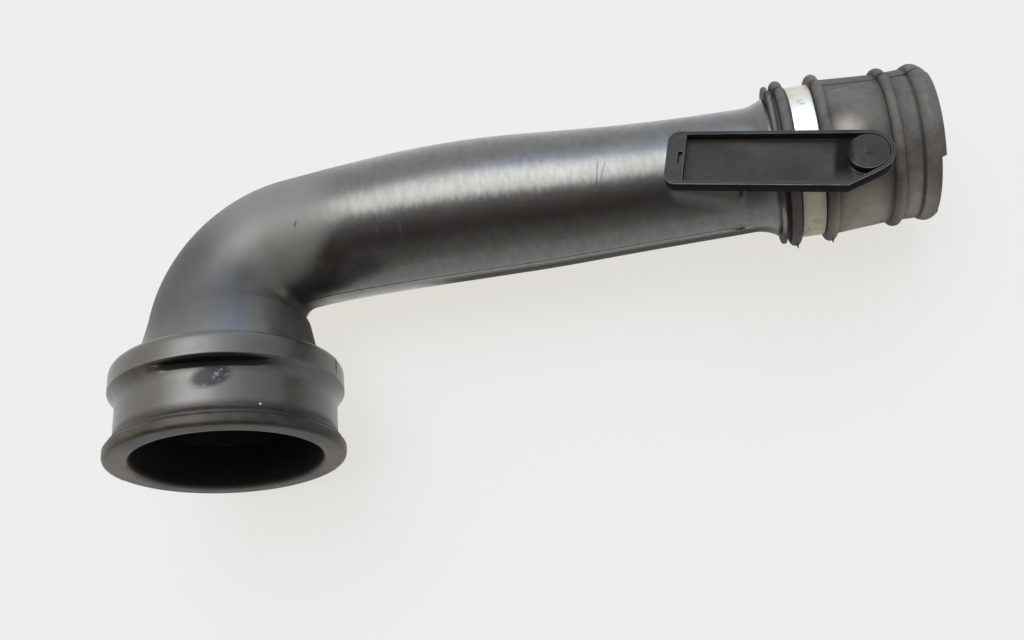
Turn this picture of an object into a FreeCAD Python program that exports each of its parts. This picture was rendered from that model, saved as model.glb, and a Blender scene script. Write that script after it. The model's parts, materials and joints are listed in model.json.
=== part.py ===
import FreeCAD, Part
import math
import os
import re

import Sketcher

# A charge air hose: a blow-moulded elbow pipe with a rubber cuff on each end, a band clamp
# and a clipped-on bracket arm. Lengths are in millimetres and angles in degrees.
#
# The hose is drawn with the bend in the XY plane: the mouth of the inlet cuff is at the origin,
# the short leg runs along +Y and the long run leaves along +X. It is then laid down as it rests,
# turned about the middle of the inlet bore, which becomes the part's own origin.

# Driving dimensions
SIZES = {
    # Centreline of the pipe
    "leg_length": 65.0,
    "bend_radius": 37.0,
    "bend_angle": 89.4,
    "bow_length": 110.0,
    "bow_angle": 8.4,
    "return_length": 100.0,
    "return_angle": 3.0,
    # Outer radii of the pipe along the centreline
    "inlet_spigot_radius": 42.0,
    "bend_entry_radius": 36.7,
    "bend_middle_radius": 32.6,
    "bend_exit_radius": 31.3,
    "bulge_radius": 32.1,
    "run_radius": 31.2,
    "taper_radius": 28.2,
    "neck_radius": 26.4,
    "pipe_wall": 2.2,
    # Spigots and outlet flange of the pipe
    "inlet_spigot_start": 20.3,
    "inlet_spigot_end": 40.0,
    "flare_length": 8.7,
    "flare_radius": 15.0,
    "flange_radius": 29.0,
    "outlet_spigot_radius": 27.5,
    "outlet_spigot_end": 40.0,
    # Inlet cuff, measured from its mouth and outwards from the spigot that it sits on
    "mouth_bore_step": 1.2,
    "mouth_recess": 2.6,
    "mouth_round_width": 4.2,
    "cuff_wall": 5.85,
    "lip_rise": 3.6,
    "lip_round": 2.6,
    "lip_end": 4.4,
    "lip_step_rise": 2.3,
    "lip_step_end": 6.6,
    "lip_flank": 2.2,
    "cove_width": 5.0,
    "undercut_depth": 2.4,
    "undercut_width": 2.4,
    "undercut_spread": 38.0,
    "ring_start": 29.6,
    "ring_rise": 3.5,
    "ring_bevel": 0.8,
    "ring_end": 33.4,
    "shoulder_wall": 1.55,
    "cuff_length": 41.8,
    # Outlet cuff, measured from the end of the curved run and outwards from the spigot inside it
    "sleeve_start": 10.2,
    "end_lip_rise": 2.6,
    "end_lip_width": 1.8,
    "end_lip_groove": 1.6,
    "groove_rise": 0.3,
    "rib_rise": 4.1,
    "rib_width": 4.2,
    "rib_crown": 1.7,
    "seat_wall": 3.05,
    "clamp_side_gap": 0.5,
    "sleeve_body_rise": 1.4,
    "waist_drop": 0.4,
    "far_rib_start": 53.2,
    "far_rib_rise": 2.2,
    "far_rib_crown": 1.5,
    "bead_start": 64.0,
    "bead_rise": 2.05,
    "sleeve_end_drop": 1.0,
    "sleeve_end": 72.2,
    "port_bore_step": 1.0,
    "notch_depth": 2.0,
    "notch_reach": 12.0,
    "notch_angle": 66.0,
    "notch_turn": 77.0,
    # Band clamp
    "band_width": 9.0,
    "band_thickness": 0.8,
    "ear_width": 8.0,
    "ear_height": 5.2,
    "ear_turn": 230.0,
    # Bracket arm, drawn in its own frame from its near left lower corner
    "arm_skew": 11.5,
    "arm_back": 28.5,
    "arm_near_side": 31.4,
    "arm_lift": 36.8,
    "arm_width": 23.8,
    "arm_height": 5.2,
    "arm_wall": 1.5,
    "arm_floor": 1.2,
    "arm_corner": 4.6,
    "arm_knee_along": 67.3,
    "boss_along": 73.8,
    "arm_tip_radius": 9.2,
    "boss_radius": 7.3,
    "nub_radius": 1.4,
    "nub_height": 0.6,
    "trough_start": 7.2,
    "trough_knee_along": 67.9,
    "window_along": 5.4,
    "window_across": 11.8,
    "window_width": 1.8,
    "window_length": 5.4,
    # Pad that carries the arm
    "pad_length": 26.7,
    "pad_width": 13.4,
    "pad_inset": 1.2,
    "pad_near_inset": 7.6,
    "pad_depth": 26.0,
    "pad_gap": 0.9,
    "seat_margin": 3.0,
    "tongue_drop": 0.5,
    # Clearance between pieces that are pushed together
    "fit_gap": 0.05,
}

# Share of a size below which a coordinate counts as lying on an axis
ON_AXIS = 1e-9
SHEET_NAME = "Sizes"
# Radius of a corner's arc as a share of its leg: a little over 1 keeps the arc inside its corner
CORNER_ROUNDING = 1.02
MOUTH_ROUNDING = 1.1
# Radius of the ear's bent corners, and how deep its loop's foot and hollow reach into the band,
# as shares of the band's thickness
EAR_BEND = 1.5
EAR_FOOT = 0.5
EAR_HOLLOW_FOOT = 0.25
# Distance in millimetres below which two points of an edge count as level
LEVEL = 1e-3
# Settling steps and facet size used to find how the hose lies
LIE_STEPS = 40
LIE_FACET = 0.1


def bind(text):
    """Return an expression in which each named size points at its cell."""
    def cell(match):
        word = match.group(0)
        return f"{SHEET_NAME}.{word}" if word in SIZES else word
    return re.sub(r"[a-z_]+", cell, text)


class Hose:
    """The document, its sheet of sizes and the helpers that draw with them."""

    def __init__(self):
        self.doc = FreeCAD.newDocument("charge_air_hose")
        self.sheet = self.doc.addObject("Spreadsheet::Sheet", SHEET_NAME)
        for row, (name, value) in enumerate(SIZES.items(), start=1):
            self.sheet.set(f"A{row}", name)
            self.sheet.set(f"B{row}", str(value))
            self.sheet.setAlias(f"B{row}", name)
        self.doc.recompute()

    def number(self, text):
        """Return the value of an expression of named sizes."""
        value = self.sheet.evalExpression(bind(text))
        return float(getattr(value, "Value", value))

    def body(self, name):
        """Add an empty body that will become one piece."""
        body = self.doc.addObject("PartDesign::Body", name)
        body.Label = name
        return body

    def sketch(self, body, name, role, offset=None):
        """Add a sketch on one of the body's own planes, moved by a placement expression."""
        sketch = body.newObject("Sketcher::SketchObject", name)
        plane = next(item for item in body.Origin.OriginFeatures if item.Role == role)
        sketch.AttachmentSupport = [(plane, "")]
        sketch.MapMode = "FlatFace"
        if offset:
            sketch.setExpression("AttachmentOffset", bind(offset))
        return sketch

    def dimension(self, text, *constraint):
        """Return a constraint with the value of an expression, and the expression."""
        return Sketcher.Constraint(*constraint, self.number(text)), text

    def point_dimensions(self, geometry, end, across, up):
        """Return the constraints that fix one point of a sketch at two coordinate expressions."""
        found = []
        for axis, text in (("X", across), ("Y", up)):
            value = self.number(text)
            if abs(value) < ON_AXIS:
                line = -2 if axis == "X" else -1
                found.append((Sketcher.Constraint("PointOnObject", geometry, end, line), None))
            elif value > 0:
                found.append(self.dimension(text, "Distance" + axis, -1, 1, geometry, end))
            else:
                found.append(self.dimension(f"-({text})", "Distance" + axis, geometry, end, -1, 1))
        return found

    def constrain(self, sketch, dimensions):
        """Add constraints to a sketch and tie those that have an expression to it."""
        indices = sketch.addConstraint([constraint for constraint, text in dimensions])
        for index, (constraint, text) in zip(indices, dimensions):
            if text is not None:
                sketch.setExpression(f"Constraints[{index}]", bind(text))

    def circle(self, sketch, radius, across="0", up="0"):
        """Draw a circle of a named radius about a point."""
        centre = FreeCAD.Vector(self.number(across), self.number(up), 0)
        shape = Part.Circle(centre, FreeCAD.Vector(0, 0, 1), self.number(radius))
        index = sketch.addGeometry(shape, False)
        dimensions = [self.dimension(radius, "Radius", index)]
        if across == "0" and up == "0":
            dimensions.append((Sketcher.Constraint("Coincident", index, 3, -1, 1), None))
        else:
            dimensions += self.point_dimensions(index, 3, across, up)
        self.constrain(sketch, dimensions)

    def outline(self, sketch, corners):
        """Draw a closed outline.

        Each corner is (across, up), or (across, up, radius, side) where the stretch to the next
        corner is an arc. Side +1 bows to the left of the way it is drawn, and -1 to the right.
        """
        points = [FreeCAD.Vector(self.number(c[0]), self.number(c[1]), 0) for c in corners]
        ends = []
        dimensions = []
        for index, corner in enumerate(corners):
            start = points[index]
            stop = points[(index + 1) % len(points)]
            if len(corner) == 2:
                edge = sketch.addGeometry(Part.LineSegment(start, stop), False)
                ends.append((edge, 1, 2))
                continue
            radius, side = self.number(corner[2]), corner[3]
            chord = stop - start
            left = FreeCAD.Vector(-chord.y, chord.x, 0).normalize()
            reach = math.sqrt(radius ** 2 - (chord.Length / 2) ** 2)
            centre = (start + stop) / 2 - left * side * reach
            first, last = (stop, start) if side > 0 else (start, stop)
            angles = [math.atan2(point.y - centre.y, point.x - centre.x) for point in (first, last)]
            circle = Part.Circle(centre, FreeCAD.Vector(0, 0, 1), radius)
            edge = sketch.addGeometry(Part.ArcOfCircle(circle, *angles), False)
            ends.append((edge, 2, 1) if side > 0 else (edge, 1, 2))
            dimensions.append(self.dimension(corner[2], "Radius", edge))
        for index, corner in enumerate(corners):
            edge, first, last = ends[index]
            follower, follower_first, follower_last = ends[(index + 1) % len(ends)]
            joined = Sketcher.Constraint("Coincident", edge, last, follower, follower_first)
            dimensions.append((joined, None))
            dimensions += self.point_dimensions(edge, first, corner[0], corner[1])
        self.constrain(sketch, dimensions)

    def rectangle(self, sketch, left, low, width, depth):
        """Draw a rectangle from its lower left corner."""
        right = f"{left} + {width}"
        high = f"{low} + {depth}"
        self.outline(sketch, [(left, low), (right, low), (right, high), (left, high)])

    def feature(self, body, kind, name, sketch, sizes=None, **settings):
        """Add a sketch-based feature, with sizes as expressions and other settings as they are."""
        item = body.newObject("PartDesign::" + kind, name)
        item.Profile = sketch
        for key, value in settings.items():
            setattr(item, key, value)
        for key, text in (sizes or {}).items():
            item.setExpression(key, bind(text))
        self.doc.recompute()
        return item

    def round_edges(self, body, name, radius, wanted):
        """Fillet the edges of the body's last feature that a test picks."""
        base = body.Tip
        names = [f"Edge{i}" for i, edge in enumerate(base.Shape.Edges, start=1) if wanted(edge)]
        item = body.newObject("PartDesign::Fillet", name)
        item.Base = (base, names)
        item.setExpression("Radius", bind(radius))
        self.doc.recompute()
        return item


# Stations of the centreline: (across, along, heading), heading 0 along +Y and 90 along +X

def leg_station(length):
    """Return the station at a length along the straight leg."""
    return "0", length, "0"


def bend_station(share):
    """Return the station at a share of the tight bend."""
    heading = f"{share} * bend_angle"
    across = f"bend_radius * (1 - cos({heading}))"
    along = f"leg_length + bend_radius * sin({heading})"
    return across, along, heading


def bow_station(share):
    """Return the station at a share of the long run's first curve, which bends on the same way."""
    across, along, start = bend_station(1)
    radius = "bow_length / (bow_angle * pi / 180)"
    heading = f"({start} + {share} * bow_angle)"
    across = f"{across} + {radius} * (cos({start}) - cos({heading}))"
    along = f"{along} + {radius} * (sin({heading}) - sin({start}))"
    return across, along, heading


def return_station(share):
    """Return the station at a share of the long run's second curve, which bends back."""
    across, along, start = bow_station(1)
    radius = "return_length / (return_angle * pi / 180)"
    heading = f"({start} - {share} * return_angle)"
    across = f"{across} + {radius} * (cos({heading}) - cos({start}))"
    along = f"{along} + {radius} * (sin({start}) - sin({heading}))"
    return across, along, heading


def bend_radius_at(share):
    """Return the pipe's radius in the bend, on a parabola through its three named radii."""
    entry = (1 - share) * (1 - 2 * share)
    middle = 4 * share * (1 - share)
    leaving = share * (2 * share - 1)
    return f"{entry} * bend_entry_radius + {middle} * bend_middle_radius + {leaving} * bend_exit_radius"


BEND_SHARES = [0, 0.2, 0.4, 0.6, 0.8, 1]


def pipe_sections():
    """Return (station, outer radius) along the moulded pipe between its two spigots."""
    sections = [
        (leg_station("inlet_spigot_end"), "inlet_spigot_radius"),
        (leg_station("(inlet_spigot_end + leg_length) / 2"),
         "(inlet_spigot_radius + bend_entry_radius) / 2"),
    ]
    sections += [(bend_station(share), bend_radius_at(share)) for share in BEND_SHARES]
    sections += [
        (bow_station(0.5), "bulge_radius"),
        (bow_station(1), "run_radius"),
        (return_station(0.5), "taper_radius"),
        (return_station(1), "neck_radius"),
    ]
    return sections


def outlet_frame(turn="0", raise_by="0"):
    """Return the placement of a sketch in the bend plane with its X axis along the outlet."""
    across, along, heading = return_station(1)
    place = f"vector({across}; {along}; {raise_by})"
    return f"placement({place}; rotation(vector(0; 0; 1); 90 - {heading} - {turn}))"


def loft(hose, body, kind, name, radii_at):
    """Loft circles along the centreline, with one or more radii at each station."""
    sketches = []
    for index, ((across, along, heading), radius) in enumerate(pipe_sections()):
        place = f"vector({across}; 0; -({along}))"
        turn = f"rotation(vector(0; 1; 0); 180 - ({heading}))"
        sketch = hose.sketch(body, f"{name}_section_{index}", "XZ_Plane", f"placement({place}; {turn})")
        for ring in radii_at(radius):
            hose.circle(sketch, ring)
        sketches.append(sketch)
    return hose.feature(body, kind, name, sketches[0], Sections=sketches[1:])


def build_pipe(hose):
    """Build the elbow pipe with its spigots, outlet flange and the pad for the arm."""
    body = hose.body("air_pipe")
    arm_place = outlet_frame("arm_skew", "arm_lift - pad_gap")
    pad = hose.sketch(body, "pad_outline", "XY_Plane", arm_place)
    hose.rectangle(pad, "pad_inset - arm_back", "pad_near_inset - arm_near_side", "pad_length", "pad_width")
    hose.feature(body, "Pad", "arm_pad", pad, {"Length": "pad_depth"}, Reversed=True)

    seat = hose.sketch(body, "seat_outline", "XY_Plane", arm_place)
    hose.rectangle(seat, "pad_inset + seat_margin - arm_back",
                   "pad_near_inset + seat_margin - arm_near_side",
                   "pad_length - 2 * seat_margin", "pad_width - 2 * seat_margin")
    hose.feature(body, "Pad", "arm_seat", seat, {"Length": "pad_gap - fit_gap"})

    tongue = hose.sketch(body, "tongue_outline", "XY_Plane", arm_place)
    hose.rectangle(tongue, "window_along - window_width / 2 - arm_back + fit_gap",
                   "window_across - window_length / 2 - arm_near_side + fit_gap",
                   "window_width - 2 * fit_gap", "window_length - 2 * fit_gap")
    hose.feature(body, "Pad", "arm_tongue", tongue, {"Length": "pad_gap + arm_height - tongue_drop"})

    # The pad block ends inside the pipe's wall, so that nothing stands into the air path
    loft(hose, body, "SubtractiveLoft", "pad_underside", lambda radius: [f"{radius} - pipe_wall / 2"])

    across_leg = "placement(vector(0; 0; -inlet_spigot_end); rotation(vector(0; 1; 0); 0))"
    spigot = hose.sketch(body, "inlet_spigot_rings", "XZ_Plane", across_leg)
    hose.circle(spigot, "inlet_spigot_radius")
    hose.circle(spigot, "inlet_spigot_radius - pipe_wall")
    hose.feature(body, "Pad", "inlet_spigot", spigot, {"Length": "inlet_spigot_end - inlet_spigot_start"})

    flare = hose.sketch(body, "outlet_profile", "XY_Plane", outlet_frame())
    hose.outline(flare, [
        ("0", "neck_radius - pipe_wall"),
        ("0", "neck_radius", "flare_radius", -1),
        ("flare_length", "flange_radius"),
        ("flare_length", "outlet_spigot_radius"),
        ("outlet_spigot_end", "outlet_spigot_radius"),
        ("outlet_spigot_end", "neck_radius - pipe_wall"),
    ])
    axis = (flare, ["H_Axis"])
    hose.feature(body, "Revolution", "outlet_spigot", flare, {"Angle": "360"}, ReferenceAxis=axis)

    # The run's wall comes last and joins the pad and both spigots
    loft(hose, body, "AdditiveLoft", "pipe_wall_run", lambda radius: [radius, f"{radius} - pipe_wall"])
    return body


def build_inlet_cuff(hose):
    """Build the large cuff: lip, clamp groove, coved ring with an undercut, and rounded shoulder."""
    body = hose.body("inlet_cuff")
    profile = hose.sketch(body, "inlet_cuff_profile", "XY_Plane")
    bore = "(inlet_spigot_radius - mouth_bore_step)"
    socket = "(inlet_spigot_radius + fit_gap)"
    groove = f"({socket} + cuff_wall)"
    lip = f"({groove} + lip_rise)"
    lip_step = f"({groove} + lip_step_rise)"
    ring = f"({groove} + ring_rise)"
    shoulder = f"({socket} + shoulder_wall)"
    stop = "inlet_spigot_start - fit_gap"
    cove_rise = "(ring_rise - ring_bevel)"
    cove_arc = f"(pow(cove_width; 2) + pow({cove_rise}; 2)) / (2 * {cove_rise})"
    hose.outline(profile, [
        (bore, stop),
        (bore, "mouth_recess", f"mouth_round_width * {MOUTH_ROUNDING}", 1),
        (f"{bore} + mouth_round_width", "0"),
        (f"{lip} - lip_round", "0", f"lip_round * {CORNER_ROUNDING}", -1),
        (lip, "lip_round"),
        (lip, "lip_end"),
        (lip_step, "lip_end + lip_rise - lip_step_rise"),
        (lip_step, "lip_step_end"),
        (groove, "lip_step_end + lip_flank"),
        (groove, "ring_start - cove_width", cove_arc, 1),
        (f"{ring} - ring_bevel", "ring_start"),
        (ring, "ring_start + ring_bevel"),
        (ring, "ring_end", f"{CORNER_ROUNDING} * max({ring} - {shoulder}; cuff_length - ring_end)", -1),
        (shoulder, "cuff_length"),
        (socket, "cuff_length"),
        (socket, stop),
    ])
    axis = (profile, ["V_Axis"])
    hose.feature(body, "Revolution", "inlet_cuff_form", profile, {"Angle": "360"}, ReferenceAxis=axis)

    # The undercut is a crescent: its floor is a circle that lies off the cuff's axis
    across_leg = "placement(vector(0; 0; undercut_width - ring_start); rotation(vector(0; 1; 0); 0))"
    shift = "(undercut_depth / (1 - cos(undercut_spread)))"
    floor = f"({groove} - undercut_depth + {shift})"
    undercut = hose.sketch(body, "undercut_rings", "XZ_Plane", across_leg)
    hose.circle(undercut, f"{floor} + 2 * {shift}")
    hose.circle(undercut, floor, "0", f"-{shift}")
    hose.feature(body, "Pocket", "undercut", undercut, {"Length": "undercut_width"})
    return body


def crown(width, rise):
    """Return the radius of an arc that rises by a height over a width."""
    return f"(pow({width}; 2) / 4 + pow({rise}; 2)) / (2 * {rise})"


SLEEVE_SOCKET = "(outlet_spigot_radius + fit_gap)"
CLAMP_SEAT = f"({SLEEVE_SOCKET} + seat_wall)"


def sleeve_places():
    """Return the places along the outlet of the ribs and the clamp seat of the sleeve."""
    near_rib = "(sleeve_start + end_lip_width + end_lip_groove)"
    seat = f"({near_rib} + rib_width)"
    middle_rib = f"({seat} + band_width + 2 * clamp_side_gap)"
    return near_rib, seat, middle_rib


def build_outlet_cuff(hose):
    """Build the ribbed coupling sleeve with its clamp seat, end bead and notch."""
    body = hose.body("outlet_cuff")
    profile = hose.sketch(body, "outlet_cuff_profile", "XY_Plane")
    near_rib, seat, middle_rib = sleeve_places()
    end_lip = f"({CLAMP_SEAT} + end_lip_rise)"
    groove = f"({CLAMP_SEAT} + groove_rise)"
    rib_side = f"({CLAMP_SEAT} + rib_rise - rib_crown)"
    rib_arc = crown("rib_width", "rib_crown")
    waist = f"({CLAMP_SEAT} - waist_drop)"
    far_side = f"({waist} + far_rib_rise - far_rib_crown)"
    far_arc = crown("rib_width", "far_rib_crown")
    bead_chord = "sqrt(pow(sleeve_end - bead_start; 2) + pow(sleeve_end_drop; 2))"
    bore = "(outlet_spigot_radius - port_bore_step)"
    stop = "outlet_spigot_end + fit_gap"
    hose.outline(profile, [
        ("sleeve_start", SLEEVE_SOCKET),
        ("sleeve_start", end_lip),
        ("sleeve_start + end_lip_width", end_lip),
        ("sleeve_start + end_lip_width", groove),
        (near_rib, groove),
        (near_rib, rib_side, rib_arc, 1),
        (seat, rib_side),
        (seat, CLAMP_SEAT),
        (middle_rib, CLAMP_SEAT),
        (middle_rib, rib_side, rib_arc, 1),
        (f"{middle_rib} + rib_width", rib_side),
        (f"{middle_rib} + rib_width", f"{CLAMP_SEAT} + sleeve_body_rise"),
        ("far_rib_start", waist),
        ("far_rib_start", far_side, far_arc, 1),
        ("far_rib_start + rib_width", far_side),
        ("far_rib_start + rib_width", waist),
        ("bead_start", waist, crown(bead_chord, "bead_rise"), 1),
        ("sleeve_end", f"{waist} - sleeve_end_drop"),
        ("sleeve_end", bore),
        (stop, bore),
        (stop, SLEEVE_SOCKET),
    ])
    axis = (profile, ["H_Axis"])
    hose.feature(body, "Revolution", "outlet_cuff_form", profile, {"Angle": "360"}, ReferenceAxis=axis)

    turned = "placement(vector(0; 0; 0); rotation(vector(1; 0; 0); 90 + notch_turn))"
    notch = hose.sketch(body, "end_notch_profile", "XY_Plane", turned)
    hose.rectangle(notch, "sleeve_end - notch_depth", f"{bore} - notch_depth",
                   "2 * notch_depth", "notch_reach")
    axis = (notch, ["H_Axis"])
    sizes = {"Angle": "notch_angle"}
    hose.feature(body, "Groove", "end_notch", notch, sizes, ReferenceAxis=axis, Midplane=True)
    return body


def build_ear_clamp(hose):
    """Build the steel band and its closed ear, in the plane across the outlet."""
    body = hose.body("ear_clamp")
    near_rib, seat, middle_rib = sleeve_places()
    start = f"placement(vector(0; 0; {seat} + clamp_side_gap); rotation(vector(0; 0; 1); 0))"
    inner = f"{CLAMP_SEAT} + fit_gap"
    outer = f"{inner} + band_thickness"
    band = hose.sketch(body, "band_rings", "YZ_Plane", start)
    hose.circle(band, inner)
    hose.circle(band, outer)
    hose.feature(body, "Pad", "band", band, {"Length": "band_width"})

    ear = hose.sketch(body, "ear_loop", "YZ_Plane", start)
    foot = f"band_thickness * {EAR_FOOT}"
    hollow_foot = f"band_thickness * {EAR_HOLLOW_FOOT}"
    hose.rectangle(ear, "-ear_width / 2", f"{outer} - {foot}", "ear_width", f"ear_height + {foot}")
    hose.rectangle(ear, "band_thickness - ear_width / 2", f"{outer} - {hollow_foot}",
                   "ear_width - 2 * band_thickness", f"ear_height - band_thickness + {hollow_foot}")
    hose.feature(body, "Pad", "ear", ear, {"Length": "band_width"})
    top = hose.number(f"{outer} + ear_height")

    def on_ear_top(edge):
        ends = [vertex.Point for vertex in edge.Vertexes]
        along_band = len(ends) == 2 and abs(ends[0].x - ends[1].x) > LEVEL
        return along_band and all(abs(point.z - top) < LEVEL for point in ends)

    hose.round_edges(body, "ear_corners", f"band_thickness * {EAR_BEND}", on_ear_top)
    return body


def arm_outline(hose, sketch, left, inset, knee):
    """Draw the arm's plan, or that of the trough inside it.

    Left is where the outline begins and inset is how far it lies inside the arm's sides. At the
    knee its near side turns into the slope that runs up to the round tip.
    """
    start, low, turn = (hose.number(text) for text in (left, inset, knee))
    high = hose.number("arm_width") - low
    tip = hose.number("arm_tip_radius") - low
    centre = FreeCAD.Vector(hose.number("boss_along"), high - tip, 0)
    slant = math.atan2(centre.y - low, centre.x - turn)
    span = math.hypot(centre.y - low, centre.x - turn)
    touch = slant + math.pi + math.acos(tip / span)
    meet = centre + FreeCAD.Vector(math.cos(touch), math.sin(touch), 0) * tip
    top_left = FreeCAD.Vector(start, high, 0)
    corners = [top_left, FreeCAD.Vector(start, low, 0), FreeCAD.Vector(turn, low, 0), meet]
    segments = [Part.LineSegment(first, second) for first, second in zip(corners, corners[1:])]
    end, near, slope = (sketch.addGeometry(segment, False) for segment in segments)
    circle = Part.Circle(centre, FreeCAD.Vector(0, 0, 1), tip)
    round_end = sketch.addGeometry(Part.ArcOfCircle(circle, touch, math.pi / 2 + 2 * math.pi), False)
    back = sketch.addGeometry(Part.LineSegment(FreeCAD.Vector(centre.x, high, 0), top_left), False)
    for first, second in ((end, near), (near, slope), (back, end)):
        sketch.addConstraint(Sketcher.Constraint("Coincident", first, 2, second, 1))
    sketch.addConstraint(Sketcher.Constraint("Tangent", slope, 2, round_end, 1))
    sketch.addConstraint(Sketcher.Constraint("Tangent", round_end, 2, back, 1))
    sketch.addConstraint(Sketcher.Constraint("Vertical", end))
    sketch.addConstraint(Sketcher.Constraint("Horizontal", near))
    sketch.addConstraint(Sketcher.Constraint("Horizontal", back))
    hose.constrain(sketch, hose.point_dimensions(end, 2, left, inset) + [
        hose.dimension(f"arm_width - 2 * ({inset})", "DistanceY", end, 2, end, 1),
        hose.dimension(knee, "DistanceX", -1, 1, near, 2),
        hose.dimension("boss_along", "DistanceX", -1, 1, round_end, 3),
        hose.dimension(f"arm_tip_radius - ({inset})", "Radius", round_end),
    ])


def build_bracket_arm(hose):
    """Build the tray-shaped arm with its trough, slanted tip, round boss and clip window."""
    body = hose.body("bracket_arm")
    plan = hose.sketch(body, "arm_plan", "XY_Plane")
    arm_outline(hose, plan, "0", "0", "arm_knee_along")
    hose.feature(body, "Pad", "arm_block", plan, {"Length": "arm_height"})

    def at_left_end(edge):
        ends = [vertex.Point for vertex in edge.Vertexes]
        return len(ends) == 2 and abs(ends[0].z - ends[1].z) > LEVEL and ends[0].x < LEVEL

    hose.round_edges(body, "arm_corners", "arm_corner", at_left_end)

    top = "placement(vector(0; 0; arm_height); rotation(vector(0; 0; 1); 0))"
    trough = hose.sketch(body, "trough_outline", "XY_Plane", top)
    arm_outline(hose, trough, "trough_start", "arm_wall", "trough_knee_along")
    hose.feature(body, "Pocket", "trough", trough, {"Length": "arm_height - arm_floor"})

    window = hose.sketch(body, "window_outline", "XY_Plane", top)
    hose.rectangle(window, "window_along - window_width / 2", "window_across - window_length / 2",
                   "window_width", "window_length")
    hose.feature(body, "Pocket", "window", window, {"Length": "arm_height"})

    boss_up = "arm_width - arm_tip_radius"
    boss = hose.sketch(body, "boss_circle", "XY_Plane")
    hose.circle(boss, "boss_radius", "boss_along", boss_up)
    hose.feature(body, "Pad", "boss", boss, {"Length": "arm_height"})

    nub = hose.sketch(body, "nub_circle", "XY_Plane", top)
    hose.circle(nub, "nub_radius", "boss_along", boss_up)
    hose.feature(body, "Pad", "nub", nub, {"Length": "nub_height"})
    return body


def placement(hose, offset):
    """Return the placement that an expression gives."""
    return hose.sheet.evalExpression(bind(offset))


def resting_turn(pieces):
    """Return the turn that lays the hose on the plane which three of its pieces touch from above."""
    clouds = [piece.Shape.tessellate(LIE_FACET)[0] for piece in pieces]
    up = FreeCAD.Vector(0, 0, 1)
    for step in range(LIE_STEPS):
        feet = [min(cloud, key=up.dot) for cloud in clouds]
        normal = (feet[1] - feet[0]).cross(feet[2] - feet[0]).normalize()
        up = (up + normal * math.copysign(1, normal.z)).normalize()
    return FreeCAD.Rotation(up, FreeCAD.Vector(0, 0, 1))


def main():
    """Build every piece, lay the hose down, check the solids and write them."""
    hose = Hose()
    pipe = build_pipe(hose)
    inlet = build_inlet_cuff(hose)
    outlet = build_outlet_cuff(hose)
    clamp = build_ear_clamp(hose)
    arm = build_bracket_arm(hose)
    pieces = [pipe, inlet, outlet, clamp, arm]

    ear_turn = FreeCAD.Rotation(FreeCAD.Vector(1, 0, 0), hose.number("ear_turn"))
    arm_corner = FreeCAD.Vector(-hose.number("arm_back"), -hose.number("arm_near_side"), 0)
    outlet.Placement = placement(hose, outlet_frame())
    clamp.Placement = outlet.Placement * FreeCAD.Placement(FreeCAD.Vector(), ear_turn)
    arm.Placement = placement(hose, outlet_frame("arm_skew", "arm_lift")) * FreeCAD.Placement(
        arm_corner, FreeCAD.Rotation())
    bore_middle = hose.number("(mouth_recess + inlet_spigot_start - fit_gap) / 2")
    to_origin = FreeCAD.Placement(FreeCAD.Vector(0, -bore_middle, 0), FreeCAD.Rotation())
    lie = FreeCAD.Placement(FreeCAD.Vector(), resting_turn([inlet, outlet, pipe])) * to_origin
    for piece in pieces:
        piece.Placement = lie * piece.Placement
    hose.doc.recompute()

    for item in hose.doc.Objects:
        if "Invalid" in item.State or "Error" in item.State:
            raise RuntimeError(f"{item.Label} failed: {item.State}")
    for piece in pieces:
        if piece.Shape.isNull() or not piece.Shape.isValid() or len(piece.Shape.Solids) != 1:
            raise RuntimeError(f"{piece.Label} is not one valid solid")
    os.makedirs("parts", exist_ok=True)
    for piece in pieces:
        piece.Shape.exportStep(f"parts/{piece.Label}.step")
        print(piece.Label, "volume", round(piece.Shape.Volume))


main()
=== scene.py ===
"""Looks of a charge air hose: a moulded elbow pipe, two rubber cuffs, a band clamp and a bracket arm."""

import json
import logging
import math
import operator
from dataclasses import asdict, dataclass
from enum import Enum
from functools import partial, reduce
from typing import Callable, Optional, Sequence, Union

import bmesh
import bpy
import numpy as np
from bpy.types import ID, Camera, Material, Mesh, Node, NodeSocket, NodeTree, Object
from mathutils import Matrix, Vector


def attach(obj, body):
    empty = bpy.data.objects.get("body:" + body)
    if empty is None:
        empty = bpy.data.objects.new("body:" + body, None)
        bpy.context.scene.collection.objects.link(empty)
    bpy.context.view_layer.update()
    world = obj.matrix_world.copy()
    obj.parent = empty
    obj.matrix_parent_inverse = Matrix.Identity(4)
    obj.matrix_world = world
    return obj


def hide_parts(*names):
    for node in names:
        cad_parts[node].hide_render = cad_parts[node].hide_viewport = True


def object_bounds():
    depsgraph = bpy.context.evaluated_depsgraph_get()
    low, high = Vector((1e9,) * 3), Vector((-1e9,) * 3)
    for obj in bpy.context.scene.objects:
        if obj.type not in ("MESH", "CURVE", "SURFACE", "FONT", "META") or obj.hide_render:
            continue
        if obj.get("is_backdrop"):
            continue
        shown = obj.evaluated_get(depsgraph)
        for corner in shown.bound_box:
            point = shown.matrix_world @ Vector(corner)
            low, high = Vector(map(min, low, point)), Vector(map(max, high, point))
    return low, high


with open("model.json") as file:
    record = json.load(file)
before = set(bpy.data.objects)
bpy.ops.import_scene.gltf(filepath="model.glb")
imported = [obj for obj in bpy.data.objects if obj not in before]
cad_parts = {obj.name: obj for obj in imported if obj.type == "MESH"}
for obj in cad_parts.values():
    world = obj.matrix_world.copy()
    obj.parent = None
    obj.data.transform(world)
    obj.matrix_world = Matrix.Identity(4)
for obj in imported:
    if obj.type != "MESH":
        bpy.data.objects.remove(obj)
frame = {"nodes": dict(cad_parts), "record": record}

CAD_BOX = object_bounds()
LOG = logging.getLogger("charge_air_hose")
MM = 0.001
BODY = "root"
EVEN = (1.0, 1.0, 1.0)
Triple = tuple[float, float, float]
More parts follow.
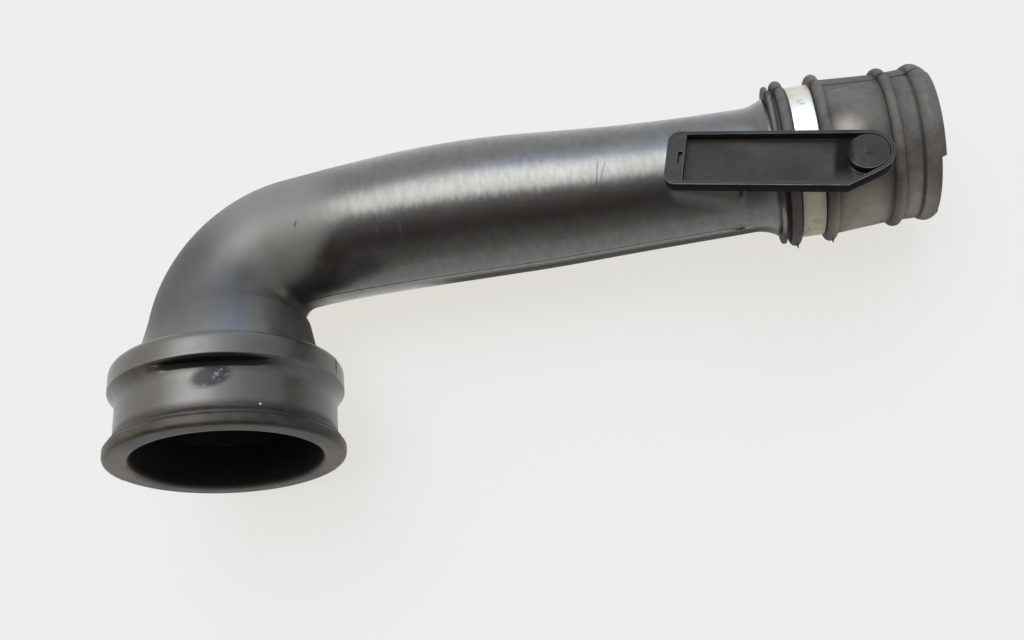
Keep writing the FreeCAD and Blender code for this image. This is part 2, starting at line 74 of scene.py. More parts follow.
Pair = tuple[float, float]
Colour = Triple
Link = Union[NodeSocket, float, int, str, Sequence[float], Material]
Section = list[Pair]
Curve = Callable[[np.ndarray], np.ndarray]


class Slot(Enum):
    """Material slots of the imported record."""

    PIPE = "pipe_plastic"
    CUFF = "cuff_rubber"
    SLEEVE = "sleeve_rubber"
    BAND = "band_steel"
    ARM = "arm_plastic"


class Trait(Enum):
    """Attributes that a swept path or a turned piece carries."""

    SCALE = "sweep_scale"
    FACING = "sweep_facing"
    ALONG = "along"
    TURN = "turn"
    CREST = "crest"
    HOLLOW = "hollow"
    BORE = "bore"
    EDGE = "edge"


# Where things are


@dataclass(frozen=True)
class AxisFrame:
    """A point on the hose's centreline with three directions across and along it."""

    point: Vector
    along: Vector
    outer: Vector
    normal: Vector

    def place(self, along: float, radius: float, turn: float) -> Vector:
        """Return a point from its distance along, its radius and its turn in degrees.

        Args:
            along: distance from this frame's point in metres.
            radius: distance from the axis in metres.
            turn: angle from the normal towards the outer side of the bend.

        Returns:
            The point in the part's own frame.
        """
        angle = math.radians(turn)
        across = self.normal * math.cos(angle) + self.outer * math.sin(angle)
        return self.point + self.along * along + across * radius

    def turn_of(self, point: Vector) -> float:
        """Return the turn in degrees of a point about this axis."""
        arm = point - self.point
        return math.degrees(math.atan2(arm.dot(self.outer), arm.dot(self.normal)))


@dataclass(frozen=True)
class HoseFrame:
    """The bend plane of the hose as it lies, worked out from the two bores of the record."""

    mouth: Vector
    across: Vector
    leg: Vector
    normal: Vector

    @classmethod
    def from_record(cls, record: dict, mouth_recess: float) -> "HoseFrame":
        """Find the bend plane from the record's mounts.

        Args:
            record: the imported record.
            mouth_recess: depth at which the straight inlet bore begins.

        Returns:
            The frame of the hose.
        """
        mounts = {mount["name"]: mount for mount in record["mounts"]}
        inlet = mounts["inlet_bore"]
        leg = -Vector(inlet["axis"]).normalized()
        outlet = Vector(mounts["outlet_bore"]["axis"])
        across = (outlet - leg * outlet.dot(leg)).normalized()
        middle = mouth_recess + inlet["dims"]["length_mm"] * MM / 2
        return cls(Vector(inlet["pos_m"]) - leg * middle, across, leg, across.cross(leg))

    def place(self, across: float, along: float, height: float = 0.0) -> Vector:
        """Return a point given in the bend plane's own coordinates."""
        return self.mouth + self.direction(across, along, height)

    def direction(self, across: float, along: float, height: float = 0.0) -> Vector:
        """Return a direction given in the bend plane's own coordinates."""
        return self.across * across + self.leg * along + self.normal * height


@dataclass(frozen=True)
class Centreline:
    """The centreline of the pipe: a straight leg, a tight bend, a bow and a return curve."""

    hose: HoseFrame
    leg_length: float = 65.0 * MM
    bend_radius: float = 37.0 * MM
    bend_angle: float = 89.4
    bow_length: float = 110.0 * MM
    bow_angle: float = 8.4
    return_length: float = 100.0 * MM
    return_angle: float = 3.0

    @property
    def bend_length(self) -> float:
        """Return the length of the tight bend."""
        return self.bend_radius * math.radians(self.bend_angle)

    @property
    def bend_end(self) -> float:
        """Return the distance from the mouth to the end of the tight bend."""
        return self.leg_length + self.bend_length

    @property
    def length(self) -> float:
        """Return the distance from the mouth to the end of the return curve."""
        return self.bend_end + self.bow_length + self.return_length

    def axis_at(self, distance: float) -> AxisFrame:
        """Return the axis frame at a distance from the mouth.

        Args:
            distance: length along the centreline in metres. Past its end the outlet runs straight.

        Returns:
            The frame there, with its outer side away from the centre of the tight bend.
        """
        stretches = (
            (self.leg_length, 0.0),
            (self.bend_length, self.bend_angle),
            (self.bow_length, self.bow_angle),
            (self.return_length, -self.return_angle),
            (math.inf, 0.0),
        )
        across = along = heading = 0.0
        left = distance
        for length, angle in stretches:
            part = min(left, length)
            if angle:
                radius = length / math.radians(angle)
                turned = heading + part / radius
                across += radius * (math.cos(heading) - math.cos(turned))
                along += radius * (math.sin(turned) - math.sin(heading))
                heading = turned
            else:
                across += part * math.sin(heading)
                along += part * math.cos(heading)
            left -= part
            if left <= 0:
                break
        return AxisFrame(
            self.hose.place(across, along),
            self.hose.direction(math.sin(heading), math.cos(heading)),
            self.hose.direction(-math.cos(heading), math.sin(heading)),
            self.hose.normal,
        )


def natural_spline(knots: Sequence[float], values: Sequence[float]) -> Curve:
    """Return a smooth function through given values.

    Args:
        knots: rising places.
        values: the value at each place.

    Returns:
        A function that takes an array of places and gives the values there.
    """
    places, heights = np.asarray(knots, float), np.asarray(values, float)
    steps = np.diff(places)
    slopes = np.diff(heights) / steps
    count = len(places)
    system, target = np.eye(count), np.zeros(count)
    for row in range(1, count - 1):
        system[row, row - 1 : row + 2] = steps[row - 1], 2 * (steps[row - 1] + steps[row]), steps[row]
        target[row] = 6 * (slopes[row] - slopes[row - 1])
    bends = np.linalg.solve(system, target)

    def value_at(where: np.ndarray) -> np.ndarray:
        """Follow the cubic of each place's own stretch.

        Args:
            where: places within the knots.

        Returns:
            The values there.
        """
        where = np.asarray(where, float)
        index = np.clip(np.searchsorted(places, where) - 1, 0, count - 2)
        step, after = steps[index], where - places[index]
        first = slopes[index] - step * (2 * bends[index] + bends[index + 1]) / 6
        cubic = (bends[index + 1] - bends[index]) / (6 * step)
        return heights[index] + after * (first + after * (bends[index] / 2 + after * cubic))

    return value_at


# Building node trees


class NodeCanvas:
    """Adds nodes to one tree and joins them."""

    def __init__(self, tree: NodeTree) -> None:
        """Keep the tree that nodes are added to."""
        self.tree = tree

    @classmethod
    def on(cls, owner: ID) -> "NodeCanvas":
        """Make a canvas on a new material or world.

        Args:
            owner: the material or world.

        Returns:
            A canvas on its emptied tree.
        """
        owner.use_nodes = True
        owner.node_tree.nodes.clear()
        return cls(owner.node_tree)

    def set(self, socket: NodeSocket, value: Link) -> None:
        """Join a socket to another one, or give it a plain value.

        Args:
            socket: the input to set.
            value: an output to join it to, or a plain value. A colour may leave out its alpha.
        """
        if isinstance(value, NodeSocket):
            self.tree.links.new(value, socket)
        elif isinstance(value, tuple) and len(value) == 3 and socket.type == "RGBA":
            socket.default_value = (*value, 1.0)
        else:
            socket.default_value = value

    def add(self, kind: str, inputs: Optional[dict] = None, **settings: object) -> Node:
        """Add a node.

        Args:
            kind: the node's type name.
            inputs: value or socket for each input, by name or index.
            settings: plain properties of the node.

        Returns:
            The new node.
        """
        node = self.tree.nodes.new(kind)
        for key, value in settings.items():
            setattr(node, key, value)
        for key, value in (inputs or {}).items():
            self.set(node.inputs[key], value)
        return node

    def math(self, operation: str, first: Link, second: Link = 0.0, clamp: bool = False) -> NodeSocket:
        """Return the result of a math node."""
        node = self.add("ShaderNodeMath", {0: first, 1: second}, operation=operation, use_clamp=clamp)
        return node.outputs[0]

    def times(self, *values: Link) -> NodeSocket:
        """Return the product of several values."""
        return reduce(partial(self.math, "MULTIPLY"), values)

    def total(self, *values: Link) -> NodeSocket:
        """Return the sum of several values."""
        return reduce(partial(self.math, "ADD"), values)

    def most(self, *values: Link) -> NodeSocket:
        """Return the largest of several values."""
        return reduce(partial(self.math, "MAXIMUM"), values)

    def less(self, first: Link, second: Link) -> NodeSocket:
        """Return a value less another."""
        return self.math("SUBTRACT", first, second)

    def vector(self, operation: str, *values: Link) -> bpy.types.bpy_prop_collection:
        """Return the outputs of a vector math node."""
        return self.add("ShaderNodeVectorMath", dict(enumerate(values)), operation=operation).outputs

    def smooth(self, value: Link, low: Link, high: Link, first: Link = 0.0, last: Link = 1.0) -> NodeSocket:
        """Return a value eased from first to last as the input goes from low to high."""
        inputs = {"Value": value, "From Min": low, "From Max": high, "To Min": first, "To Max": last}
        return self.add("ShaderNodeMapRange", inputs, interpolation_type="SMOOTHSTEP").outputs[0]

    def blend(self, share: Link, first: Link, second: Link, kind: str = "MIX") -> NodeSocket:
        """Return a mix of two colours."""
        inputs = {0: share, 6: first, 7: second}
        return self.add("ShaderNodeMix", inputs, data_type="RGBA", blend_type=kind).outputs[2]

    def between(self, share: Link, first: Link, second: Link) -> NodeSocket:
        """Return a mix of two numbers."""
        return self.add("ShaderNodeMix", {0: share, 2: first, 3: second}, data_type="FLOAT").outputs[0]

    def noise(self, vector: Link, scale: Link, detail: float = 4.0, rough: float = 0.6) -> NodeSocket:
        """Return a noise value."""
        inputs = {"Vector": vector, "Scale": scale, "Detail": detail, "Roughness": rough}
        return self.add("ShaderNodeTexNoise", inputs).outputs[0]

    def attribute(self, name: Trait) -> NodeSocket:
        """Return the value of one of the piece's own attributes."""
        return self.add("ShaderNodeAttribute", attribute_name=name.value).outputs["Fac"]

    def stretched(self, vector: Link, scale: Sequence[float]) -> NodeSocket:
        """Return a vector scaled differently along each axis."""
        return self.add("ShaderNodeMapping", {"Vector": vector, "Scale": scale}).outputs[0]

    def effect(self, group: NodeTree, **inputs: Link) -> NodeSocket:
        """Place a shared effect and return its first output. Underscores in names stand for spaces."""
        named = {name.replace("_", " ").title(): value for name, value in inputs.items()}
        return self.add("ShaderNodeGroup", named, node_tree=group).outputs[0]


def shader_group(name: str, output: str, *inputs: str) -> tuple[NodeTree, NodeCanvas, dict]:
    """Make an empty shader group.

    Args:
        name: name of the group.
        output: name of its one output, a number.
        inputs: names of its inputs. Vector is a vector and the others are numbers.

    Returns:
        The group, a canvas on it, and its input sockets by name with the output's node under "out".
    """
    tree = bpy.data.node_groups.new(name, "ShaderNodeTree")
    for label in inputs:
        kind = "NodeSocketVector" if label == "Vector" else "NodeSocketFloat"
        tree.interface.new_socket(name=label, in_out="INPUT", socket_type=kind)
    tree.interface.new_socket(name=output, in_out="OUTPUT", socket_type="NodeSocketFloat")
    canvas = NodeCanvas(tree)
    start = canvas.add("NodeGroupInput")
    sockets = {label: start.outputs[label] for label in inputs}
    sockets["out"] = canvas.add("NodeGroupOutput").inputs[0]
    return tree, canvas, sockets


class Effects:
    """Shader groups that more than one finish uses."""

    def __init__(self) -> None:
        """Build each group once."""
        self.dust = self.dust_film()
        self.grain = self.moulded_grain()
        self.scratches = self.hair_scratches()
        self.window = self.window_mask()
        self.mark = self.oval_mark()

    def dust_film(self) -> NodeTree:
        """Build a patchy film that settles on faces that look up.

        Returns:
            The group.
        """
        finer, speck_share, bare, covered = 7.0, 0.35, 0.85, 1.35
        tree, canvas, ends = shader_group("Dust Film", "Mask", "Vector", "Scale", "Coverage", "Upward")
        cloud = canvas.noise(ends["Vector"], ends["Scale"], detail=6.0, rough=0.65)
        speck = canvas.noise(ends["Vector"], canvas.times(ends["Scale"], finer), detail=3.0, rough=0.7)
        normal = canvas.add("ShaderNodeNewGeometry").outputs["Normal"]
        height = canvas.add("ShaderNodeSeparateXYZ", {0: normal}).outputs["Z"]
        lift = canvas.times(canvas.smooth(height, low=-0.3, high=1.0), ends["Upward"])
        level = canvas.total(canvas.between(speck_share, cloud, speck), lift, ends["Coverage"])
        canvas.set(ends["out"], canvas.smooth(level, bare, covered))
        return tree

    def moulded_grain(self) -> NodeTree:
        """Build the fine unevenness of a moulded surface.

        Returns:
            The group.
        """
        coarser = 0.08
        tree, canvas, ends = shader_group("Moulded Grain", "Height", "Vector", "Scale", "Ripple")
        fine = canvas.noise(ends["Vector"], ends["Scale"], detail=3.0, rough=0.55)
        slow = canvas.noise(ends["Vector"], canvas.times(ends["Scale"], coarser), detail=2.0, rough=0.5)
        canvas.set(ends["out"], canvas.total(fine, canvas.times(slow, ends["Ripple"])))
        return tree

    def hair_scratches(self) -> NodeTree:
        """Build thin broken lines that follow the contour of a stretched noise.

        Returns:
            The group.
        """
        contour, coarser, broken, whole = 0.5, 0.6, 0.95, 1.15
        tree, canvas, ends = shader_group("Hair Scratches", "Mask", "Vector", "Scale", "Width", "Density")
        relief_value = canvas.noise(ends["Vector"], ends["Scale"], detail=2.0, rough=0.5)
        offset = canvas.math("ABSOLUTE", canvas.less(relief_value, contour))
        line = canvas.smooth(offset, 0.0, ends["Width"], 1.0, 0.0)
        patch = canvas.noise(ends["Vector"], canvas.times(ends["Scale"], coarser), detail=3.0, rough=0.6)
        level = canvas.total(patch, ends["Density"])
        canvas.set(ends["out"], canvas.times(line, canvas.smooth(level, broken, whole)))
        return tree

    def window_mask(self) -> NodeTree:
        """Build a mask that is 1 between two values and fades out past them.

        Returns:
            The group.
        """
        tree, canvas, ends = shader_group("Window Mask", "Mask", "Value", "Start", "End", "Feather")
        before = canvas.less(ends["Start"], ends["Feather"])
        after = canvas.total(ends["End"], ends["Feather"])
        rise = canvas.smooth(ends["Value"], before, ends["Start"])
        fall = canvas.smooth(ends["Value"], ends["End"], after, 1.0, 0.0)
        canvas.set(ends["out"], canvas.times(rise, fall))
        return tree

    def oval_mark(self) -> NodeTree:
        """Build one oval mark, long or round, at a place along and around a round piece.

        Returns:
            The group.
        """
        tree, canvas, ends = shader_group(
            "Oval Mark", "Mask", "Along", "Turn", "At Along", "At Turn", "Radius",
            "Half Length", "Half Width", "Slant", "Core")
        across = canvas.less(ends["Along"], ends["At Along"])
        angle = canvas.math("RADIANS", canvas.less(ends["Turn"], ends["At Turn"]))
        around = canvas.times(angle, ends["Radius"])
        slanted = canvas.total(across, canvas.times(around, ends["Slant"]))
        reach = canvas.math("DIVIDE", around, ends["Half Length"])
        width = canvas.math("DIVIDE", slanted, ends["Half Width"])
        distance = canvas.math("SQRT", canvas.total(canvas.times(reach, reach), canvas.times(width, width)))
        canvas.set(ends["out"], canvas.smooth(distance, ends["Core"], 1.0, 1.0, 0.0))
        return tree


# Finishes


@dataclass(frozen=True)
class Mark:
    """An oval mark on a round piece, in metres and degrees, which fades from its core to its rim."""

    at_along: float
    at_turn: float
    half_length: float
    half_width: float
    slant: float = 0.0
    core: float = 0.45


@dataclass(frozen=True)
class Cloud:
    """A noise that is eased from a first value to a last one between two of its levels."""

    scale: float
    detail: float
    rough: float
    low: float
    high: float
    first: float = 0.0
    last: float = 1.0
    stretch: Triple = EVEN


@dataclass(frozen=True)
class Span:
    """A stretch from a start to an end, with a feather past both."""

    start: float
    end: float
    feather: float


@dataclass(frozen=True)
class Region:
    """A place on a round piece: a span along it in metres and a span around it in degrees."""

    along: Span
    around: Span


class Surface(NodeCanvas):
    """The canvas of one material, with its shader, its object coordinates and the shared effects."""

    def __init__(self, name: str, effects: Effects) -> None:
        """Make an empty material.

        Args:
            name: name of the material.
            effects: the shared effects.
        """
        self.material = bpy.data.materials.new(name)
        super().__init__(NodeCanvas.on(self.material).tree)
        self.effects = effects
        self.shader = self.add("ShaderNodeBsdfPrincipled")
        self.add("ShaderNodeOutputMaterial", {"Surface": self.shader.outputs[0]})
        self.place = self.add("ShaderNodeTexCoord").outputs["Object"]

    def feed(self, inputs: dict[str, Link]) -> None:
        """Set inputs of the shader by their names."""
        for name, value in inputs.items():
            self.set(self.shader.inputs[name], value)

    def shared(self, effect: NodeTree, stretch: Triple = EVEN, **inputs: Link) -> NodeSocket:
        """Return a shared effect placed on the surface's own coordinates."""
        return self.effect(effect, vector=self.stretched(self.place, stretch), **inputs)

    def cloud(self, cloud: Cloud) -> NodeSocket:
        """Return the value of a cloud over the surface."""
        noise = self.noise(self.stretched(self.place, cloud.stretch), cloud.scale, cloud.detail, cloud.rough)
        return self.smooth(noise, cloud.low, cloud.high, cloud.first, cloud.last)

    def span(self, name: Trait, span: Span) -> NodeSocket:
        """Return a mask of a span of one of the piece's attributes."""
        return self.effect(self.effects.window, value=self.attribute(name), **asdict(span))

    def region(self, region: Region) -> NodeSocket:
        """Return a mask of a region of a round piece."""
        along = self.span(Trait.ALONG, region.along)
        return self.times(along, self.span(Trait.TURN, region.around))

    def marked(self, radius: float, marks: Sequence[Mark]) -> Link:
        """Find a mask of several marks.

        Args:
            radius: radius of the round piece that they are on.
            marks: the marks.

        Returns:
            The mask, or 0 where there are no marks.
        """
        along, turn = self.attribute(Trait.ALONG), self.attribute(Trait.TURN)
        mask: Link = 0.0
        for mark in marks:
            oval = self.effect(self.effects.mark, along=along, turn=turn, radius=radius, **asdict(mark))
            mask = self.most(mask, oval)
        return mask

    def coated(self, colour: Link, *coats: tuple[Link, float, Colour]) -> Link:
        """Lay coats over a colour.

        Args:
            colour: the colour below.
            coats: the mask, the strength and the colour of each coat, in order.

        Returns:
            The colour with its coats.
        """
        for mask, strength, coat in coats:
            colour = self.blend(self.times(mask, strength), colour, coat)
        return colour

    def bump(self, height: Link, strength: float, depth: float) -> None:
        """Feed a height into the shader's normal."""
        node = self.add("ShaderNodeBump", {"Height": height, "Strength": strength, "Distance": depth})
        self.feed({"Normal": node.outputs[0]})


@dataclass(frozen=True)
class Finish:
    """What every finish starts from."""

    effects: Effects


@dataclass(frozen=True)
class PipePlastic(Finish):
    """Semi-gloss black plastic with a brown residue, fine rubbing, a few scratches, a pale haze on the bend
    that is partly a painted sheen, and painted shade on its underside, inside the bend and under the arm.
    """

    base: Colour = (0.013, 0.013, 0.013)
    film: Colour = (0.046, 0.045, 0.043)
    # Pale haze of the bend and the leg, partly dust and partly a painted broad sheen.
    haze: Colour = (0.125, 0.122, 0.115)
    residue: Colour = (0.0095, 0.0062, 0.0042)
    # Colour of the painted shade on the underside, inside the bend and on the pad under the arm.
    grime: Colour = (0.024, 0.022, 0.015)
    scratch: Colour = (0.006, 0.005, 0.005)
    marks: tuple[Mark, ...] = (
        Mark(173.0 * MM, -29.5, 4.8 * MM, 0.95 * MM, 0.05),
        Mark(184.0 * MM, -34.0, 3.8 * MM, 0.90 * MM, -0.10),
        Mark(179.0 * MM, -32.0, 2.2 * MM, 0.50 * MM, 0.15),
        Mark(272.0 * MM, -14.0, 8.0 * MM, 0.55 * MM, -0.10),
        Mark(274.5 * MM, -12.0, 6.0 * MM, 0.42 * MM, -0.28),
        Mark(135.0 * MM, -16.0, 2.2 * MM, 0.65 * MM, -0.35),
    )
    scuffs: tuple[Mark, ...] = (
        Mark(88.6 * MM, -17.8, 1.3 * MM, 1.5 * MM),
        Mark(80.6 * MM, -22.7, 1.0 * MM, 1.3 * MM),
    )
    mark_radius: float = 31.5 * MM
    # Where the pale haze lies: partly dust, partly a painted sheen on the bend.
    dull_bend: Region = Region(Span(0.112, 0.136, 0.026), Span(-56.0, 75.0, 24.0))
    matt_bend: Region = Region(Span(0.066, 0.136, 0.030), Span(-56.0, 75.0, 24.0))
    hazy_leg: Region = Region(Span(0.040, 0.112, 0.020), Span(-72.0, -50.0, 16.0))
    # Painted shade: the underside near the floor and the inside of the tight bend are darkened.
    underside: Region = Region(Span(0.205, 0.330, 0.030), Span(-150.0, -100.0, 10.0))
    inner_bend: Region = Region(Span(0.038, 0.118, 0.020), Span(-112.0, -76.0, 12.0))
    residue_turn: float = 159.0 * MM
    residue_lean: float = 1470.0
    residue_side: Pair = (-41.0, -28.0)
    residue_run: Span = Span(0.122, 0.286, 0.024)
    residue_blotch: Cloud = Cloud(55.0, 5.0, 0.6, 0.30, 0.60, 0.6, 1.0)
    straight: Pair = (0.145, 0.172)
    bend_reach: float = 3.0
    bend_fade: float = 22.0
    run_reach: float = 20.0
    run_fade: float = 11.0
    streak_stretch: Triple = (1.0, 0.22, 0.22)
    rub_stretch: Triple = (1.0, 0.12, 0.12)
    rough: Cloud = Cloud(16.0, 4.0, 0.6, 0.3, 0.7, 0.27, 0.36)
    mottle: Cloud = Cloud(420.0, 4.0, 0.7, 0.34, 0.66, 0.66, 1.0, (1.0, 0.35, 0.35))
    matt_rough: float = 0.55
    stain_rough: float = 0.44
    scar_rough: float = 0.75

    def stain(self, skin: Surface) -> NodeSocket:
        """Find the residue below the top of the run, which leans into the inside of the bend.

        Args:
            skin: the material's canvas.

        Returns:
            A mask of the residue.
        """
        along, turn = skin.attribute(Trait.ALONG), skin.attribute(Trait.TURN)
        before = skin.math("MINIMUM", skin.less(along, self.residue_turn), 0.0)
        lean = skin.less(turn, skin.times(before, self.residue_lean))
        straight = skin.smooth(along, *self.straight)
        streaked = skin.stretched(skin.place, self.streak_stretch)
        streak = skin.noise(streaked, scale=520.0, detail=4.0, rough=0.7)
        reach = skin.between(straight, self.bend_reach, self.run_reach)
        ragged = skin.times(skin.less(streak, 0.5), reach)
        start, end = self.residue_side
        side = skin.effect(self.effects.window, value=skin.total(lean, ragged), start=start, end=end,
                           feather=skin.between(straight, self.bend_fade, self.run_fade))
        run = skin.span(Trait.ALONG, self.residue_run)
        return skin.times(run, side, skin.cloud(self.residue_blotch))

    def material(self) -> Material:
        """Build the material.

        Returns:
            The material.
        """
        skin = Surface("pipe_plastic_black", self.effects)
        film = skin.shared(self.effects.dust, scale=28.0, coverage=0.28, upward=0.25)
        rubbed = skin.shared(
            self.effects.scratches, self.rub_stretch, scale=900.0, width=0.035, density=0.42)
        stain = self.stain(skin)
        scars = skin.marked(self.mark_radius, self.marks)
        scuffs = skin.marked(self.mark_radius, self.scuffs)
        dull, matt, leg = map(skin.region, (self.dull_bend, self.matt_bend, self.hazy_leg))
        # The hollow attribute marks the pad's walls, seat and tongue under the arm. With the two regions it
        # is painted shade, laid in the grime colour.
        hollow = skin.attribute(Trait.HOLLOW)
        below = skin.most(skin.region(self.underside), skin.region(self.inner_bend), hollow)
        colour = skin.coated(
            self.base, (film, 0.55, self.film), (dull, 0.9, self.haze), (leg, 0.30, self.haze),
            (below, 1.0, self.grime), (stain, 1.0, self.residue), (scuffs, 0.5, self.scratch),
            (scars, 0.9, self.scratch))
        rough = skin.between(matt, skin.cloud(self.rough), self.matt_rough)
        rough = skin.total(rough, skin.times(film, 0.06), skin.times(rubbed, 0.10))
        rough = skin.between(stain, rough, self.stain_rough)
        rough = skin.between(skin.most(scars, below), rough, self.scar_rough)
        clean = skin.less(1.0, skin.most(skin.times(matt, 0.85), stain, below))
        skin.feed({
            "Base Color": colour, "Roughness": rough, "Specular IOR Level": 0.8, "Coat IOR": 1.7,
            "Coat Weight": skin.times(clean, skin.cloud(self.mottle)), "Coat Roughness": 0.24})
        height = skin.shared(self.effects.grain, scale=1400.0, ripple=6.0)
        height = skin.less(height, skin.times(skin.total(scars, scuffs), 4.0))
        height = skin.less(height, skin.times(rubbed, 0.3))
        skin.bump(height, strength=0.10, depth=0.35 * MM)
        return skin.material


@dataclass(frozen=True)
class Rubber(Finish):
    """Moulded rubber: satin where it is clean, grey-brown where dust sits, with painted shade inside its
    bore, in its hollows, along creases and in marked recesses.
    """

    name: str
    base: Colour
    dust: Colour
    bloom: Colour
    rough: Cloud
    coverage: float
    hollow_dust: float
    hollow_dark: float
    crest_wear: float
    mark_radius: float
    gloss: float = 0.5
    polish: Optional[Span] = None
    creases: tuple[Span, ...] = ()
    patches: tuple[Mark, ...] = ()
    smudges: tuple[Mark, ...] = ()
    specks: tuple[Mark, ...] = ()
    pits: tuple[Mark, ...] = ()
    # Colour of the painted shade.
    shadow: Colour = (0.006, 0.0055, 0.005)
    oil: Colour = (0.006, 0.008, 0.014)
    fleck: Colour = (0.58, 0.60, 0.66)
    breakup: Cloud = Cloud(160.0, 5.0, 0.7, 0.35, 0.65)
    patch_cloud: Cloud = Cloud(70.0, 6.0, 0.7, 0.32, 0.62, 0.62, 1.0)
    oil_cloud: Cloud = Cloud(210.0, 4.0, 0.7, 0.30, 0.50)
    fleck_cloud: Cloud = Cloud(700.0, 2.0, 0.5, 0.68, 0.76, 0.0, 0.4)
    scuff_stretch: Triple = (0.35, 1.0, 0.5)
    oil_rough: float = 0.42
    dark_rough: float = 0.95

    def material(self) -> Material:
        """Build the material.

        Returns:
            The material.
        """
        skin = Surface(self.name, self.effects)
        names = Trait.CREST, Trait.HOLLOW, Trait.BORE
        crest, hollow, bore = map(skin.attribute, names)
        marked = partial(skin.marked, self.mark_radius)
        smudge, pits = marked(self.smudges), marked(self.pits)
        film = skin.shared(self.effects.dust, scale=42.0, coverage=self.coverage, upward=0.22)
        scuff = skin.shared(
            self.effects.scratches, self.scuff_stretch, scale=420.0, width=0.03, density=0.36)
        breakup = skin.cloud(self.breakup)
        settled = skin.times(hollow, self.hollow_dust, breakup)
        dusty = skin.math("ADD", film, settled, clamp=True)
        worn = skin.times(crest, self.crest_wear, breakup)
        patch = skin.times(marked(self.patches), skin.cloud(self.patch_cloud))
        oily = skin.times(smudge, skin.cloud(self.oil_cloud))
        flecks = skin.most(skin.times(smudge, skin.cloud(self.fleck_cloud)), marked(self.specks))
        dark = skin.most(bore, pits)
        # Painted shade: the hollows, the bore, the creases and the marked recesses are darkened towards the
        # shade colour.
        creases = [(skin.span(Trait.ALONG, crease), 0.8, self.shadow) for crease in self.creases]
        colour = skin.coated(
            self.base, (dusty, 1.0, self.dust), (skin.most(worn, patch), 1.0, self.bloom),
            (scuff, 0.35, self.bloom), (hollow, self.hollow_dark, self.shadow), (oily, 0.9, self.oil),
            (flecks, 1.0, self.fleck), (bore, 0.9, self.shadow), *creases, (pits, 1.0, self.shadow))
        rough = skin.math("ADD", skin.cloud(self.rough), skin.times(dusty, 0.16), clamp=True)
        rough = skin.between(oily, rough, self.oil_rough)
        rough = skin.between(dark, rough, self.dark_rough)
        skin.feed({"Base Color": colour, "Roughness": rough, "Specular IOR Level": self.gloss})
        if self.polish:
            clean = skin.less(1.0, skin.most(oily, dark))
            clean = skin.times(skin.span(Trait.ALONG, self.polish), clean)
            weight = skin.times(clean, skin.between(film, 1.0, 0.5))
            skin.feed({"Coat Weight": weight, "Coat Roughness": 0.36, "Coat IOR": 1.7})
        height = skin.shared(self.effects.grain, scale=1100.0, ripple=3.0)
        height = skin.total(height, skin.times(dusty, 0.6))
        skin.bump(height, strength=0.22, depth=0.30 * MM)
        return skin.material


def cuff_rubber(effects: Effects) -> Rubber:
    """Set the cuff's finish: clean satin rubber with an oily smudge and a rubbed lip, with painted shadow in
    its undercut and its bore.

    Args:
        effects: the shared effects.

    Returns:
        The finish.
    """
    return Rubber(
        effects, name="cuff_rubber_satin", base=(0.017, 0.0155, 0.0135), dust=(0.075, 0.063, 0.047),
        bloom=(0.13, 0.113, 0.090), rough=Cloud(22.0, 4.0, 0.6, 0.3, 0.7, 0.34, 0.44), coverage=0.30,
        hollow_dust=0.35, hollow_dark=0.0, crest_wear=0.35, mark_radius=47.9 * MM, gloss=0.3,
        polish=Span(13.0 * MM, 46.0 * MM, 4.0 * MM),
        smudges=(Mark(22.0 * MM, -22.0, 10.0 * MM, 6.2 * MM, 0.15, 0.55),),
        specks=(Mark(10.0 * MM, -45.3, 0.6 * MM, 0.55 * MM),),
        patches=(
            Mark(0.4 * MM, 66.0, 40.0 * MM, 3.6 * MM, core=0.2),
            Mark(0.4 * MM, -116.0, 36.0 * MM, 3.6 * MM, core=0.2),
        ),
        # Painted shadow in the crescent of the undercut below the ring, and painted shade in a nick on the
        # mould line.
        pits=(
            Mark(28.2 * MM, -22.0, 30.0 * MM, 3.0 * MM, core=0.7),
            Mark(36.0 * MM, -92.0, 0.7 * MM, 4.5 * MM),
        ))


def sleeve_rubber(effects: Effects) -> Rubber:
    """Set the sleeve's finish: dull rubber with dust and pale patches, with painted shade in its grooves and
    along one crease.

    Args:
        effects: the shared effects.

    Returns:
        The finish.
    """
    return Rubber(
        effects, name="sleeve_rubber_dusty", base=(0.036, 0.034, 0.032), dust=(0.125, 0.117, 0.108),
        bloom=(0.34, 0.315, 0.282), rough=Cloud(22.0, 4.0, 0.6, 0.3, 0.7, 0.56, 0.70), coverage=0.34,
        # Painted shade in the grooves between the ribs and along the crease where the end bead begins.
        hollow_dust=0.2, hollow_dark=0.75, crest_wear=0.18, mark_radius=32.0 * MM,
        creases=(Span(63.7 * MM, 64.3 * MM, 0.7 * MM),),
        patches=(
            Mark(41.0 * MM, -86.0, 28.0 * MM, 18.0 * MM, core=0.3),
            Mark(62.0 * MM, -84.0, 24.0 * MM, 12.0 * MM, core=0.1),
            Mark(38.0 * MM, -14.0, 10.0 * MM, 9.0 * MM, core=0.0),
            Mark(10.6 * MM, -74.0, 10.0 * MM, 1.4 * MM),
        ))


